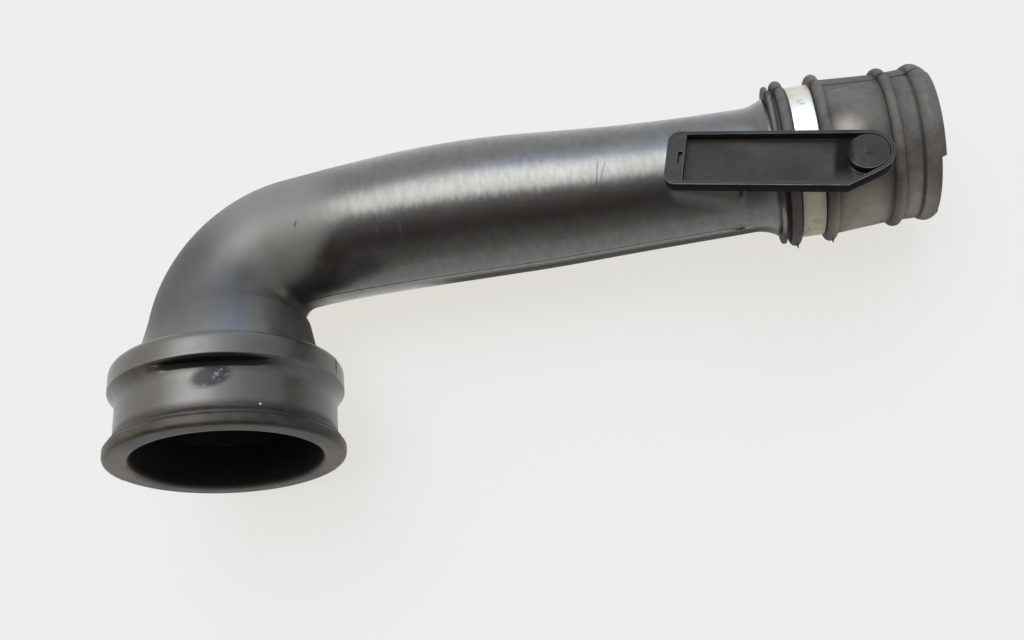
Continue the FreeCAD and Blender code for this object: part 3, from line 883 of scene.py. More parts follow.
@dataclass(frozen=True)
class BandSteel(Finish):
    """Dulled strip steel with rolled lines, a dark scuff, and cream grime on its lower side."""

    base: Colour = (0.66, 0.65, 0.63)
    cream: Colour = (0.52, 0.47, 0.37)
    grime: Colour = (0.16, 0.115, 0.07)
    scuff: Colour = (0.20, 0.20, 0.20)
    scuffs: tuple[Mark, ...] = (Mark(22.8 * MM, 17.0, 2.6 * MM, 1.9 * MM, 0.25, 0.2),)
    mark_radius: float = 31.4 * MM
    rolled_stretch: Triple = (1.0, 0.06, 0.06)
    blotch: Cloud = Cloud(150.0, 5.0, 0.7, 0.50, 0.66)
    speck: Cloud = Cloud(620.0, 3.0, 0.6, 0.58, 0.68)
    scribble: Cloud = Cloud(700.0, 2.0, 0.5, 0.44, 0.52)
    low_side: Pair = (-72.0, -38.0)
    lowest_side: Pair = (-108.0, -70.0)
    top_side: Span = Span(24.0, 60.0, 10.0)
    dull_rough: float = 0.68

    def material(self) -> Material:
        """Build the material.

        Returns:
            The material.
        """
        skin = Surface("band_steel_worn", self.effects)
        turn = skin.attribute(Trait.TURN)
        rolled = skin.stretched(skin.place, self.rolled_stretch)
        rolled = skin.noise(rolled, scale=2400.0, detail=2.0, rough=0.5)
        blotch, speck, scribble = map(skin.cloud, (self.blotch, self.speck, self.scribble))
        scuffed = skin.times(skin.marked(self.mark_radius, self.scuffs), scribble)
        low = skin.smooth(turn, *self.low_side, 1.0, 0.0)
        lowest = skin.smooth(turn, *self.lowest_side, 1.0, 0.25)
        top = skin.span(Trait.TURN, self.top_side)
        creamy = skin.most(skin.times(low, 0.8), skin.times(top, 0.5))
        dirty = skin.times(skin.math("ADD", blotch, speck, clamp=True), lowest, low)
        colour = skin.coated(
            self.base, (creamy, 1.0, self.cream), (dirty, 0.8, self.grime), (blotch, 0.18, self.scuff),
            (scuffed, 0.9, self.scuff))
        dull = skin.most(dirty, creamy, scuffed)
        rough = skin.smooth(rolled, 0.3, 0.7, 0.38, 0.52)
        skin.feed({"Base Color": colour, "Metallic": skin.between(dull, 0.9, 0.25),
                   "Roughness": skin.between(dull, rough, self.dull_rough)})
        skin.bump(skin.total(rolled, dirty), strength=0.14, depth=0.08 * MM)
        return skin.material


@dataclass(frozen=True)
class ArmPlastic(Finish):
    """Matte dark grey plastic with a sparked grain, pale scuffs, pale rubbed edges that are partly a painted
    highlight, and painted shade in a pocket and on walls.
    """

    base: Colour = (0.0115, 0.0120, 0.0115)
    dust: Colour = (0.056, 0.056, 0.053)
    # Pale colour of rubbed edges, which on the near rim is also a painted highlight.
    rubbed: Colour = (0.30, 0.30, 0.29)
    # Colour of the painted shade in the pocket and on the near walls.
    shade: Colour = (0.003, 0.003, 0.003)
    pocket: Triple = (0.0, 0.0, 0.0)
    pocket_axis: Triple = (1.0, 0.0, 0.0)
    pocket_reach: float = 4.2 * MM
    pocket_core: float = 1.47 * MM
    pocket_slimness: float = 0.36
    scuff_stretch: Triple = (0.3, 1.0, 1.0)
    wear: Cloud = Cloud(130.0, 5.0, 0.7, 0.32, 0.58, 0.4, 1.0)
    rough: Cloud = Cloud(40.0, 4.0, 0.6, 0.3, 0.7, 0.46, 0.60)
    shade_rough: float = 0.95

    def shaded(self, skin: Surface) -> NodeSocket:
        """Find the painted shade in the pocket beside the boss and on the near outer walls.

        Args:
            skin: the material's canvas.

        Returns:
            A mask of the shade.
        """
        offset = skin.vector("SUBTRACT", skin.place, self.pocket)["Vector"]
        far = skin.vector("LENGTH", offset)["Value"]
        aside = skin.math("ABSOLUTE", skin.vector("DOT_PRODUCT", offset, self.pocket_axis)["Value"])
        away = skin.most(aside, skin.times(far, self.pocket_slimness))
        pocket = skin.smooth(away, self.pocket_core, self.pocket_reach, 1.0, 0.0)
        return skin.most(pocket, skin.attribute(Trait.HOLLOW))

    def material(self) -> Material:
        """Build the material.

        Returns:
            The material.
        """
        skin = Surface("arm_plastic_matte", self.effects)
        film = skin.shared(self.effects.dust, scale=60.0, coverage=0.24, upward=0.20)
        scuff = skin.shared(
            self.effects.scratches, self.scuff_stretch, scale=520.0, width=0.03, density=0.40)
        wear = skin.times(skin.attribute(Trait.EDGE), skin.cloud(self.wear))
        shaded = self.shaded(skin)
        colour = skin.coated(
            self.base, (film, 0.55, self.dust), (scuff, 0.5, self.dust), (wear, 0.75, self.rubbed),
            (shaded, 0.92, self.shade))
        rough = skin.between(shaded, skin.cloud(self.rough), self.shade_rough)
        skin.feed({"Base Color": colour, "Roughness": rough, "Specular IOR Level": 0.26})
        height = skin.shared(self.effects.grain, scale=1800.0, ripple=2.0)
        skin.bump(height, strength=0.25, depth=0.15 * MM)
        return skin.material


# Meshes


class Profile(Enum):
    """Sections that a sweep can carry along its path."""

    ROUND = "round"
    STRIP = "strip"


def sweep_tree(name: str, profile: Profile) -> NodeTree:
    """Build a tree that sweeps a section along a path of mesh edges.

    Args:
        name: name of the tree.
        profile: a circle that is scaled along the path, or a rounded rectangle.

    Returns:
        The tree, with named inputs for its sizes.
    """
    tree = bpy.data.node_groups.new(name, "GeometryNodeTree")
    strip_sizes = dict.fromkeys(("Width", "Thickness", "Corner"), "Float")
    sizes = {"Sides": "Int"} if profile is Profile.ROUND else strip_sizes
    for label, kind in {"Geometry": "Geometry", **sizes, "Material": "Material"}.items():
        tree.interface.new_socket(name=label, in_out="INPUT", socket_type="NodeSocket" + kind)
    tree.interface.new_socket(name="Geometry", in_out="OUTPUT", socket_type="NodeSocketGeometry")
    canvas = NodeCanvas(tree)
    start = canvas.add("NodeGroupInput").outputs
    facing, scale = (
        canvas.add("GeometryNodeInputNamedAttribute", {"Name": trait.value}, data_type=kind).outputs[0]
        for trait, kind in ((Trait.FACING, "FLOAT_VECTOR"), (Trait.SCALE, "FLOAT")))
    curve = canvas.add("GeometryNodeMeshToCurve", {"Mesh": start["Geometry"]}).outputs[0]
    normals = {"Curve": curve, "Normal": facing}
    curve = canvas.add("GeometryNodeSetCurveNormal", normals, mode="FREE").outputs[0]
    if profile is Profile.ROUND:
        circle = {"Resolution": start["Sides"], "Radius": 1.0}
        section = canvas.add("GeometryNodeCurvePrimitiveCircle", circle).outputs[0]
    else:
        sides = {"Width": start["Thickness"], "Height": start["Width"]}
        section = canvas.add("GeometryNodeCurvePrimitiveQuadrilateral", sides, mode="RECTANGLE").outputs[0]
        rounds = {"Curve": section, "Count": 4, "Radius": start["Corner"]}
        section = canvas.add("GeometryNodeFilletCurve", rounds, mode="POLY").outputs[0]
    capped = profile is Profile.STRIP
    parts = {"Curve": curve, "Profile Curve": section, "Scale": scale, "Fill Caps": capped}
    mesh = canvas.add("GeometryNodeCurveToMesh", parts).outputs[0]
    mesh = canvas.add("GeometryNodeRealizeInstances", {"Geometry": mesh}).outputs[0]
    dressed = canvas.add("GeometryNodeSetMaterial", {"Geometry": mesh, "Material": start["Material"]})
    canvas.add("NodeGroupOutput", {"Geometry": dressed.outputs[0]})
    return tree


def linked(name: str, data: Union[Mesh, Camera]) -> Object:
    """Add an object to the scene.

    Args:
        name: its name.
        data: its mesh or camera.

    Returns:
        The object.
    """
    item = bpy.data.objects.new(name, data)
    bpy.context.scene.collection.objects.link(item)
    return item


def write_traits(mesh: Mesh, **values: Union[float, Sequence[float]]) -> None:
    """Write numbers on the points of a mesh.

    Args:
        mesh: the mesh.
        values: for each trait by its name, one number for each point or one for them all.
    """
    for name, numbers in values.items():
        label = Trait[name.upper()].value
        layer = mesh.attributes.get(label) or mesh.attributes.new(label, "FLOAT", "POINT")
        filled = np.zeros(len(mesh.vertices), np.float32) + np.asarray(numbers, np.float32)
        layer.data.foreach_set("value", filled)


@dataclass
class SweepPath:
    """Points of a path with a facing direction, a scale and a distance along for each."""

    points: list[Vector]
    facings: list[Vector]
    scales: Union[float, list[float]]
    distances: Union[float, list[float]]
    closed: bool = False

    def edges_object(self, name: str) -> Object:
        """Lay the path as mesh edges that carry its attributes.

        Args:
            name: name of the object and its mesh.

        Returns:
            The object.
        """
        count = len(self.points)
        edges = [(index, index + 1) for index in range(count - 1)]
        if self.closed:
            edges.append((count - 1, 0))
        mesh = bpy.data.meshes.new(name)
        mesh.from_pydata([tuple(point) for point in self.points], edges, [])
        write_traits(mesh, scale=self.scales, along=self.distances)
        layer = mesh.attributes.new(Trait.FACING.value, "FLOAT_VECTOR", "POINT")
        layer.data.foreach_set("vector", [part for facing in self.facings for part in facing])
        return linked(name, mesh)


def swept(name: str, path: SweepPath, tree: NodeTree, wall: float = 0.0, **sizes: object) -> Mesh:
    """Sweep a section along a path.

    Args:
        name: name of the piece.
        path: the path to follow.
        tree: the sweep's node tree.
        wall: thickness of a hollow piece's wall, inwards, or 0.
        sizes: value of each named input of the tree.

    Returns:
        A plain mesh.
    """
    piece = path.edges_object(name)
    modifier = piece.modifiers.new("sweep", "NODES")
    modifier.node_group = tree
    inputs = [item for item in tree.interface.items_tree if item.in_out == "INPUT"]
    identifiers = {item.name: item.identifier for item in inputs}
    for label, value in sizes.items():
        modifier[identifiers[label.title()]] = value
    if wall:
        shell = piece.modifiers.new("wall", "SOLIDIFY")
        shell.thickness = wall
        shell.offset = -1.0
    graph = bpy.context.evaluated_depsgraph_get()
    shape = piece.evaluated_get(graph)
    mesh = bpy.data.meshes.new_from_object(shape, preserve_all_data_layers=True, depsgraph=graph)
    bpy.data.objects.remove(piece)
    return mesh


MERGE_DISTANCE = 1e-7


def outward(mesh: Mesh) -> Mesh:
    """Merge doubles and point a closed mesh's faces outwards.

    Args:
        mesh: the mesh, which is changed.

    Returns:
        The same mesh.
    """
    work = bmesh.new()
    work.from_mesh(mesh)
    bmesh.ops.remove_doubles(work, verts=work.verts, dist=MERGE_DISTANCE)
    bmesh.ops.recalc_face_normals(work, faces=work.faces)
    work.to_mesh(mesh)
    work.free()
    return mesh


def made(name: str, work: bmesh.types.BMesh) -> Mesh:
    """Turn a shape that was worked on into a mesh.

    Args:
        name: name of the mesh.
        work: the shape, which is freed.

    Returns:
        The mesh.
    """
    mesh = bpy.data.meshes.new(name)
    work.to_mesh(mesh)
    work.free()
    return mesh


def joined(meshes: Sequence[Mesh]) -> Mesh:
    """Join several meshes with their attributes.

    Args:
        meshes: the meshes.

    Returns:
        One mesh made of them all.
    """
    pieces = [linked("join_part", mesh) for mesh in meshes]
    with bpy.context.temp_override(active_object=pieces[0], selected_editable_objects=pieces):
        bpy.ops.object.join()
    mesh = pieces[0].data
    bpy.data.objects.remove(pieces[0])
    return mesh


class Round:
    """Rounds the corners of a section."""

    STEPS = 5
    EDGE_SHARE = 0.49

    @classmethod
    def corners(cls, corners: Sequence[tuple]) -> Section:
        """Return the points of a closed section with rounded corners.

        Args:
            corners: (along, radius) or (along, radius, rounding) for each corner.

        Returns:
            The points in order.
        """
        points: Section = []
        for index, corner in enumerate(corners):
            here = Vector(corner[:2])
            rounding = corner[2] if len(corner) > 2 else 0.0
            back = Vector(corners[index - 1][:2]) - here
            ahead = Vector(corners[(index + 1) % len(corners)][:2]) - here
            if rounding <= 0 or back.length == 0 or ahead.length == 0:
                points.append(tuple(here))
                continue
            half = back.angle(ahead) / 2
            longest = cls.EDGE_SHARE * min(back.length, ahead.length)
            reach = min(rounding / math.tan(half), longest)
            start = here + back.normalized() * reach
            stop = here + ahead.normalized() * reach
            for step in range(cls.STEPS + 1):
                share = step / cls.STEPS
                left = 1 - share
                points.append(tuple(start * left ** 2 + here * 2 * share * left + stop * share ** 2))
        return points

    @staticmethod
    def crown(start: float, stop: float, side: float, rise: float, steps: int = 10) -> Section:
        """Return the points of a rib's crown, a half ellipse over its sides."""
        angles = [math.pi * (1 - step / steps) for step in range(steps + 1)]
        return [((start + stop) / 2 + (stop - start) / 2 * math.cos(angle), side + rise * math.sin(angle))
                for angle in angles]


@dataclass(frozen=True)
class MouldStep:
    """Mismatch of a two-part mould: one half of a turned piece is shifted a little."""

    turn: float
    shift_along: float
    shift_out: float
    inside: float
    edge_angle: float = 0.15

    def shifted(self, along: float, radius: float, turn: float) -> Pair:
        """Return a point of the section with its half's shift. The bore below the inside radius stays."""
        moved = (turn - self.turn) % 360.0 < 180.0 and radius > self.inside
        return (along + self.shift_along, radius + self.shift_out) if moved else (along, radius)

    def turns(self) -> list[float]:
        """Return extra turns that keep the step sharp."""
        sides = -self.edge_angle, self.edge_angle
        return [edge + side for edge in (self.turn, self.turn + 180.0) for side in sides]


def densified(points: Sequence[Pair], spacing: float) -> Section:
    """Add points to a closed section.

    Args:
        points: the section's points.
        spacing: how far apart they may be.

    Returns:
        The section with the points that it needed.
    """
    dense = []
    for index, point in enumerate(points):
        follower = points[(index + 1) % len(points)]
        parts = max(1, math.ceil(math.dist(point, follower) / spacing))
        for part in range(parts):
            share = part / parts
            dense.append(tuple(a + (b - a) * share for a, b in zip(point, follower)))
    return dense


SECTION_SPACING = 2.4 * MM
RELIEF_REACH = 4.0 * MM
RELIEF_FULL = 0.25


def relief(points: Sequence[Pair], reach: float) -> tuple[np.ndarray, np.ndarray]:
    """Find how far each point of a section stands out of or lies below its surroundings.

    Args:
        points: the section's points, evenly dense.
        reach: half length of the surroundings that a point is compared with.

    Returns:
        Crest and hollow for each point, from 0 to 1.
    """
    section = np.asarray(points, float)
    gaps = np.linalg.norm(np.diff(section, axis=0, append=section[:1]), axis=1)
    places = np.concatenate([[0.0], np.cumsum(gaps)[:-1]])
    total = gaps.sum()
    away = np.abs(places[:, None] - places[None, :])
    away = np.minimum(away, total - away)
    weight = np.clip(1.0 - away / reach, 0.0, None) * gaps[None, :]
    mean = (weight @ section[:, 1]) / weight.sum(axis=1)
    stand = (section[:, 1] - mean) / (RELIEF_FULL * reach)
    return np.clip(stand, 0.0, 1.0), np.clip(-stand, 0.0, 1.0)


def turned(name: str, axis: AxisFrame, section: Sequence[Pair], sides: int,
           inner: float, step: MouldStep, trim: Callable[[float, float, float], Pair],
           extra_turns: Sequence[float] = ()) -> Mesh:
    """Turn a closed section about an axis.

    Args:
        name: name of the mesh.
        axis: the axis to turn about.
        section: points (along, radius) of the section, in order.
        sides: number of facets around.
        inner: radius below which a point lies inside the bore.
        step: mismatch of the mould.
        trim: function from (along, radius, turn) to the trimmed (along, radius).
        extra_turns: turns at which an edge has to be sharp.

    Returns:
        A closed mesh with along, turn, crest, hollow and bore written on its points.
    """
    dense = densified(section, SECTION_SPACING)
    crest, hollow = relief(dense, RELIEF_REACH)
    bore = np.clip((inner - np.asarray(dense)[:, 1]) / MM, 0.0, 1.0)
    turns = [360.0 * index / sides - 180.0 for index in range(sides)]
    turns += [(turn + 180.0) % 360.0 - 180.0 for turn in (*extra_turns, *step.turns())]
    turns = sorted(set(turns))
    points, alongs, angles, faces = [], [], [], []
    for turn in turns:
        for along, radius in dense:
            along, radius = step.shifted(*trim(along, radius, turn), turn)
            points.append(tuple(axis.place(along, radius, turn)))
            alongs.append(along)
            angles.append(turn)
    count, columns = len(dense), len(turns)
    for column in range(columns):
        here, there = column * count, (column + 1) % columns * count
        for row in range(count):
            after = (row + 1) % count
            faces.append((here + row, here + after, there + after, there + row))
    mesh = bpy.data.meshes.new(name)
    mesh.from_pydata(points, [], faces)
    write_traits(
        mesh, along=alongs, turn=angles, crest=np.tile(crest, columns),
        hollow=np.tile(hollow * (1.0 - bore), columns), bore=np.tile(bore, columns))
    return outward(mesh)


def show(name: str, mesh: Mesh, node: str, slot: Slot, material: Material, sharp: float = 35.0) -> None:
    """Add a finished piece that stands for a node of the frame.

    Args:
        name: name of the piece.
        mesh: its mesh, already in place.
        node: the frame's node that it stands for.
        slot: the record's material slot; it is not used.
        material: its finish.
        sharp: angle in degrees above which an edge is left sharp.
    """
    mesh.name = name
    mesh.materials.clear()
    mesh.materials.append(material)
    mesh.shade_smooth()
    mesh.set_sharp_from_angle(angle=math.radians(sharp))
    piece = linked(name, mesh)
    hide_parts(node)
    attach(piece, BODY)
    triangles = sum(len(face.vertices) - 2 for face in mesh.polygons)
    LOG.info("%s stands for %s, %d triangles", name, node, triangles)


# Pieces


@dataclass
class AirPipe:
    """The blow-moulded elbow pipe with its flared outlet end, parting seam and arm pad."""

    line: Centreline
    finish: PipePlastic
    spigot_start: float = 20.3 * MM
    spigot_end: float = 40.0 * MM
    spigot_radius: float = 42.0 * MM
    bend_entry_radius: float = 36.7 * MM
    bend_middle_radius: float = 32.6 * MM
    bend_exit_radius: float = 31.3 * MM
    bulge_radius: float = 32.1 * MM
    run_radius: float = 31.2 * MM
    taper_radius: float = 28.2 * MM
    neck_radius: float = 26.4 * MM
    wall: float = 2.2 * MM
    flare_length: float = 8.7 * MM
    flange_radius: float = 29.0 * MM
    flare_steps: int = 12
    flange_gap: float = 0.05 * MM
    outlet_radius: float = 27.5 * MM
    outlet_end: float = 40.0 * MM
    bend_shares: tuple[float, ...] = (0.0, 0.2, 0.4, 0.6, 0.8, 1.0)
    sides: int = 128
    pitch: float = 1.6 * MM
    seam_width: float = 1.5 * MM
    seam_height: float = 0.9 * MM
    seam_stand: float = 0.12 * MM
    seam_corner: float = 0.3 * MM
    seam_inset: float = 2.0 * MM
    seam_points: int = 150

    def radius_curve(self) -> Curve:
        """Find the pipe's outer radius.

        Returns:
            A function of the distance from the mouth.
        """
        line = self.line
        knots = [self.spigot_end, (self.spigot_end + line.leg_length) / 2]
        radii = [self.spigot_radius, (self.spigot_radius + self.bend_entry_radius) / 2]
        for share in self.bend_shares:
            knots.append(line.leg_length + share * line.bend_length)
            radii.append((1 - share) * (1 - 2 * share) * self.bend_entry_radius
                         + 4 * share * (1 - share) * self.bend_middle_radius
                         + share * (2 * share - 1) * self.bend_exit_radius)
        knots += [line.bend_end + line.bow_length / 2, line.bend_end + line.bow_length,
                  line.length - line.return_length / 2, line.length]
        radii += [self.bulge_radius, self.run_radius, self.taper_radius, self.neck_radius]
        return natural_spline(knots, radii)

    def stations(self) -> Section:
        """List the sections of the whole pipe.

        Returns:
            The distance from the mouth and the outer radius of each.
        """
        end = self.line.length
        count = round((end - self.spigot_end) / self.pitch)
        places = np.linspace(self.spigot_end, end, count + 1)
        stations = [(self.spigot_start, self.spigot_radius)]
        stations += list(zip(places.tolist(), self.radius_curve()(places).tolist()))
        rise = self.flange_radius - self.neck_radius
        for step in range(1, self.flare_steps + 1):
            share = step / self.flare_steps
            stations.append((end + self.flare_length * share, self.neck_radius + rise * share ** 2))
        stations.append((end + self.flare_length + self.flange_gap, self.outlet_radius))
        stations.append((end + self.outlet_end, self.outlet_radius))
        return stations

    def wall_mesh(self, material: Material) -> Mesh:
        """Sweep the wall of the pipe.

        Args:
            material: its finish.

        Returns:
            The wall with its along and turn written on it.
        """
        distances, radii = map(list, zip(*self.stations()))
        axes = [self.line.axis_at(distance) for distance in distances]
        path = SweepPath([axis.point for axis in axes], [axis.normal for axis in axes], radii, distances)
        tree = sweep_tree("Pipe Sweep", Profile.ROUND)
        mesh = outward(swept("pipe_wall", path, tree, wall=self.wall, sides=self.sides, material=material))
        along = np.zeros(len(mesh.vertices), np.float32)
        mesh.attributes[Trait.ALONG.value].data.foreach_get("value", along)
        frames = {float(value): self.line.axis_at(float(value)) for value in np.unique(along)}
        turns = [frames[float(place)].turn_of(vertex.co) for place, vertex in zip(along, mesh.vertices)]
        write_traits(mesh, turn=turns)
        return mesh

    def seam_mesh(self, side: float, material: Material) -> Mesh:
        """Return the parting seam's bead on one side of the bend plane.

        Args:
            side: 1 for the outer side of the bend and -1 for the inner side.
            material: finish of the bead.

        Returns:
            The bead's mesh.
        """
        ends = self.spigot_end + self.seam_inset, self.line.length - self.seam_inset
        places = np.linspace(*ends, self.seam_points)
        axes = [self.line.axis_at(float(place)) for place in places]
        deep = self.seam_height / 2 - self.seam_stand
        points = [axis.point + axis.outer * side * (float(radius) - deep)
                  for axis, radius in zip(axes, self.radius_curve()(places))]
        path = SweepPath(points, [axis.outer * side for axis in axes], 1.0, places.tolist())
        mesh = swept("pipe_seam", path, sweep_tree("Seam Sweep", Profile.STRIP), width=self.seam_width,
                     thickness=self.seam_height, corner=self.seam_corner, material=material)
        write_traits(mesh, turn=90.0 * side)
        return outward(mesh)

    def build(self, pad: "ArmPad") -> None:
        """Build the pipe and show it.

        Args:
            pad: the pad that is moulded onto it.
        """
        material = self.finish.material()
        meshes = [self.wall_mesh(material), self.seam_mesh(1.0, material), self.seam_mesh(-1.0, material)]
        show("elbow_pipe", joined(meshes + pad.meshes()), "air_pipe", Slot.PIPE, material)


@dataclass
class ArmFrame:
    """Where the bracket arm sits: its own axes, from its near left lower corner."""

    line: Centreline
    skew: float = 11.5
    lift: float = 36.8 * MM
    back: float = 28.5 * MM
    near_side: float = 31.4 * MM

    def directions(self) -> tuple[Vector, Vector, Vector]:
        """Find the arm's directions.

        Returns:
            Its long, wide and upward directions.
        """
        outlet = self.line.axis_at(self.line.length)
        angle = math.radians(self.skew)
        long = outlet.along * math.cos(angle) - outlet.outer * math.sin(angle)
        wide = outlet.outer * math.cos(angle) + outlet.along * math.sin(angle)
        return long, wide, outlet.normal

    def place(self, long: float, wide: float, height: float) -> Vector:
        """Return a point from its distances along, across and above the arm's lower corner."""
        offsets = long - self.back, wide - self.near_side, self.lift + height
        return sum(map(operator.mul, self.directions(), offsets), self.line.axis_at(self.line.length).point)


@dataclass
class ArmPad:
    """The pad moulded onto the pipe under the arm, with the seat and tongue that hold it."""

    arm: ArmFrame
    curve: Curve
    inset: float = 1.2 * MM
    near_inset: float = 7.6 * MM
    length: float = 26.7 * MM
    width: float = 13.4 * MM
    gap: float = 0.9 * MM
    seat_margin: float = 3.0 * MM
    seat_gap: float = 0.05 * MM
    corner: float = 2.0 * MM
    corner_steps: int = 8
    side_steps: int = 16
    edge: float = 0.6 * MM
    edge_steps: int = 4
    wall_steps: int = 5
    foot: float = 3.0 * MM
    foot_share: float = 0.7
    foot_steps: int = 8
    sink: float = 0.6 * MM
    bite: float = 0.06 * MM
    run_out: float = 1.6 * MM
    run_out_shares: tuple[float, ...] = (0.35, 0.7, 1.0)
    # Painted shade under the arm covers the pad's wall down to this row, then fades out over the next rows.
    grime_row: int = 8
    grime_rows: int = 8
    window_along: float = 5.4 * MM
    window_across: float = 11.8 * MM
    tongue_width: float = 1.7 * MM
    tongue_length: float = 5.3 * MM
    tongue_height: float = 3.4 * MM
    block_edge: float = 0.25 * MM

    def pipe_height(self, point: Vector) -> float:
        """Find the height of the pipe's skin over the bend plane.

        Args:
            point: a point of the plan.

        Returns:
            The height there.
        """
        line = self.arm.line
        place = line.length
        for _ in range(4):
            axis = line.axis_at(place)
            place += (point - axis.point).dot(axis.along)
        axis = line.axis_at(place)
        aside = (point - axis.point).dot(axis.outer)
        radius = float(self.curve(np.array([min(place, line.length)]))[0])
        return math.sqrt(max(radius ** 2 - aside ** 2, 0.0))

    def outline(self) -> list[tuple[float, float, float, float]]:
        """List the points of the pad's rounded outline.

        Returns:
            The long and wide place of each point and the outward direction there.
        """
        low_long, high_long = self.inset + self.corner, self.inset + self.length - self.corner
        low_wide, high_wide = self.near_inset + self.corner, self.near_inset + self.width - self.corner
        centres = (
            (high_long, high_wide), (low_long, high_wide), (low_long, low_wide), (high_long, low_wide))
        points = []
        for quarter, (long, wide) in enumerate(centres):
            for step in range(self.corner_steps + 1):
                angle = math.pi / 2 * (quarter + step / self.corner_steps)
                out = math.cos(angle), math.sin(angle)
                points.append((long + self.corner * out[0], wide + self.corner * out[1], *out))
            follower = centres[(quarter + 1) % 4]
            for step in range(1, self.side_steps):
                share = step / self.side_steps
                points.append((long + (follower[0] - long) * share + self.corner * out[0],
                               wide + (follower[1] - wide) * share + self.corner * out[1], *out))
        return points

    def profile(self, long: float, wide: float, out: Sequence[float]) -> list[Vector]:
        """Return the points of the pad's wall at one place of its outline, from its top to its foot.

        Args:
            long: place along the arm.
            wide: place across the arm.
            out: outward direction there.

        Returns:
            The points, the last of which lies below the pipe's skin.
        """
        normal = self.arm.directions()[2]
        level = self.arm.line.axis_at(self.arm.line.length).point.dot(normal)
        top = self.arm.place(long, wide, -self.gap).dot(normal) - level

        def at(offset: float, height: float) -> Vector:
            """Return the point at an offset outwards and a height over the bend plane."""
            spot = self.arm.place(long + out[0] * offset, wide + out[1] * offset, 0.0)
            return spot + normal * (height + level - spot.dot(normal))

        def skin(offset: float) -> float:
            """Return the height of the pipe's skin at an offset outwards."""
            return self.pipe_height(at(offset, 0.0))

        points = []
        for step in range(self.edge_steps + 1):
            angle = math.pi / 2 * step / self.edge_steps
            points.append(at(self.edge * (math.sin(angle) - 1), top - self.edge * (1 - math.cos(angle))))
        foot = min(self.foot, self.foot_share * (top - self.edge - skin(0.0)))
        for step in range(1, self.wall_steps):
            share = step / self.wall_steps
            points.append(at(0.0, (top - self.edge) * (1 - share) + (skin(0.0) + foot) * share))
        for step in range(self.foot_steps + 1):
            angle = math.pi / 2 * step / self.foot_steps
            offset = foot * (1 - math.cos(angle))
            height = foot * (1 - math.sin(angle)) - self.bite * (1 - math.cos(angle))
            points.append(at(offset, skin(offset) + height))
        for share in self.run_out_shares:
            offset = foot + self.run_out * share
            points.append(at(offset, skin(offset) - self.bite - (self.sink - self.bite) * share ** 2))
        return points

    def skirt(self) -> Mesh:
        """Build the pad: a flat top, upright walls and a foot that runs out into the pipe.

        Returns:
            The pad's mesh, with painted shade on the upper part of its walls, under the arm.
        """
        columns = [self.profile(long, wide, out) for long, wide, *out in self.outline()]
        work = bmesh.new()
        grid = [[work.verts.new(point) for point in column] for column in columns]
        middle = sum((column[-1].co for column in grid), Vector()) / len(grid)
        keel = work.verts.new(middle - self.arm.directions()[2] * self.sink)
        for column, follower in zip(grid, grid[1:] + grid[:1]):
            for row in range(len(column) - 1):
                work.faces.new((column[row], column[row + 1], follower[row + 1], follower[row]))
            work.faces.new((column[-1], follower[-1], keel))
        work.faces.new([column[0] for column in grid])
        bmesh.ops.recalc_face_normals(work, faces=work.faces)
        mesh = made("arm_pad", work)
        length, rows = self.arm.line.length, len(columns[0])
        axis = self.arm.line.axis_at(length)
        spots = [vertex.co for vertex in mesh.vertices]
        # Painted shade under the arm: the top rows of the pad's wall get hollow 1, which fades out below the
        # shade row.
        below = [max(index % rows - self.grime_row, 0) for index in range(len(spots))]
        write_traits(
            mesh, along=[length + (spot - axis.point).dot(axis.along) for spot in spots],
            turn=[axis.turn_of(spot) for spot in spots],
            hollow=[1.0 - min(row / self.grime_rows, 1.0) for row in below])
        return mesh

    def block(self, name: str, low: Sequence[float], high: Sequence[float]) -> Mesh:
        """Build a small block with eased edges.

        Args:
            name: name of the mesh.
            low: its lowest corner in the arm's own axes.
            high: its highest corner.

        Returns:
            The block's mesh, marked for painted shade all over.
        """
        work = bmesh.new()
        bmesh.ops.create_cube(work, size=1.0)
        for vertex in work.verts:
            share = [part + 0.5 for part in vertex.co]
            vertex.co = self.arm.place(*(a + (b - a) * part for a, b, part in zip(low, high, share)))
        bmesh.ops.bevel(
            work, geom=work.edges[:], offset=self.block_edge, segments=2, affect="EDGES", profile=0.6)
        bmesh.ops.recalc_face_normals(work, faces=work.faces)
        mesh = made(name, work)
        # Hollow 1 on the whole block: painted shade on the seat and the tongue.
        write_traits(mesh, hollow=1.0)
        return mesh

    def meshes(self) -> list[Mesh]:
        """Build what the pad is made of.

        Returns:
            Its skin, its seat and its tongue.
        """
        sunk = self.gap + self.edge
        low = self.inset + self.seat_margin, self.near_inset + self.seat_margin
        high = low[0] + self.length - 2 * self.seat_margin, low[1] + self.width - 2 * self.seat_margin
        seat = self.block("arm_seat", (*low, -sunk), (*high, -self.seat_gap))
        long, wide = self.window_along, self.window_across
        half_width, half_length = self.tongue_width / 2, self.tongue_length / 2
        tongue = self.block("arm_tongue", (long - half_width, wide - half_length, -sunk),
                            (long + half_width, wide + half_length, self.tongue_height))
        return [self.skirt(), seat, tongue]


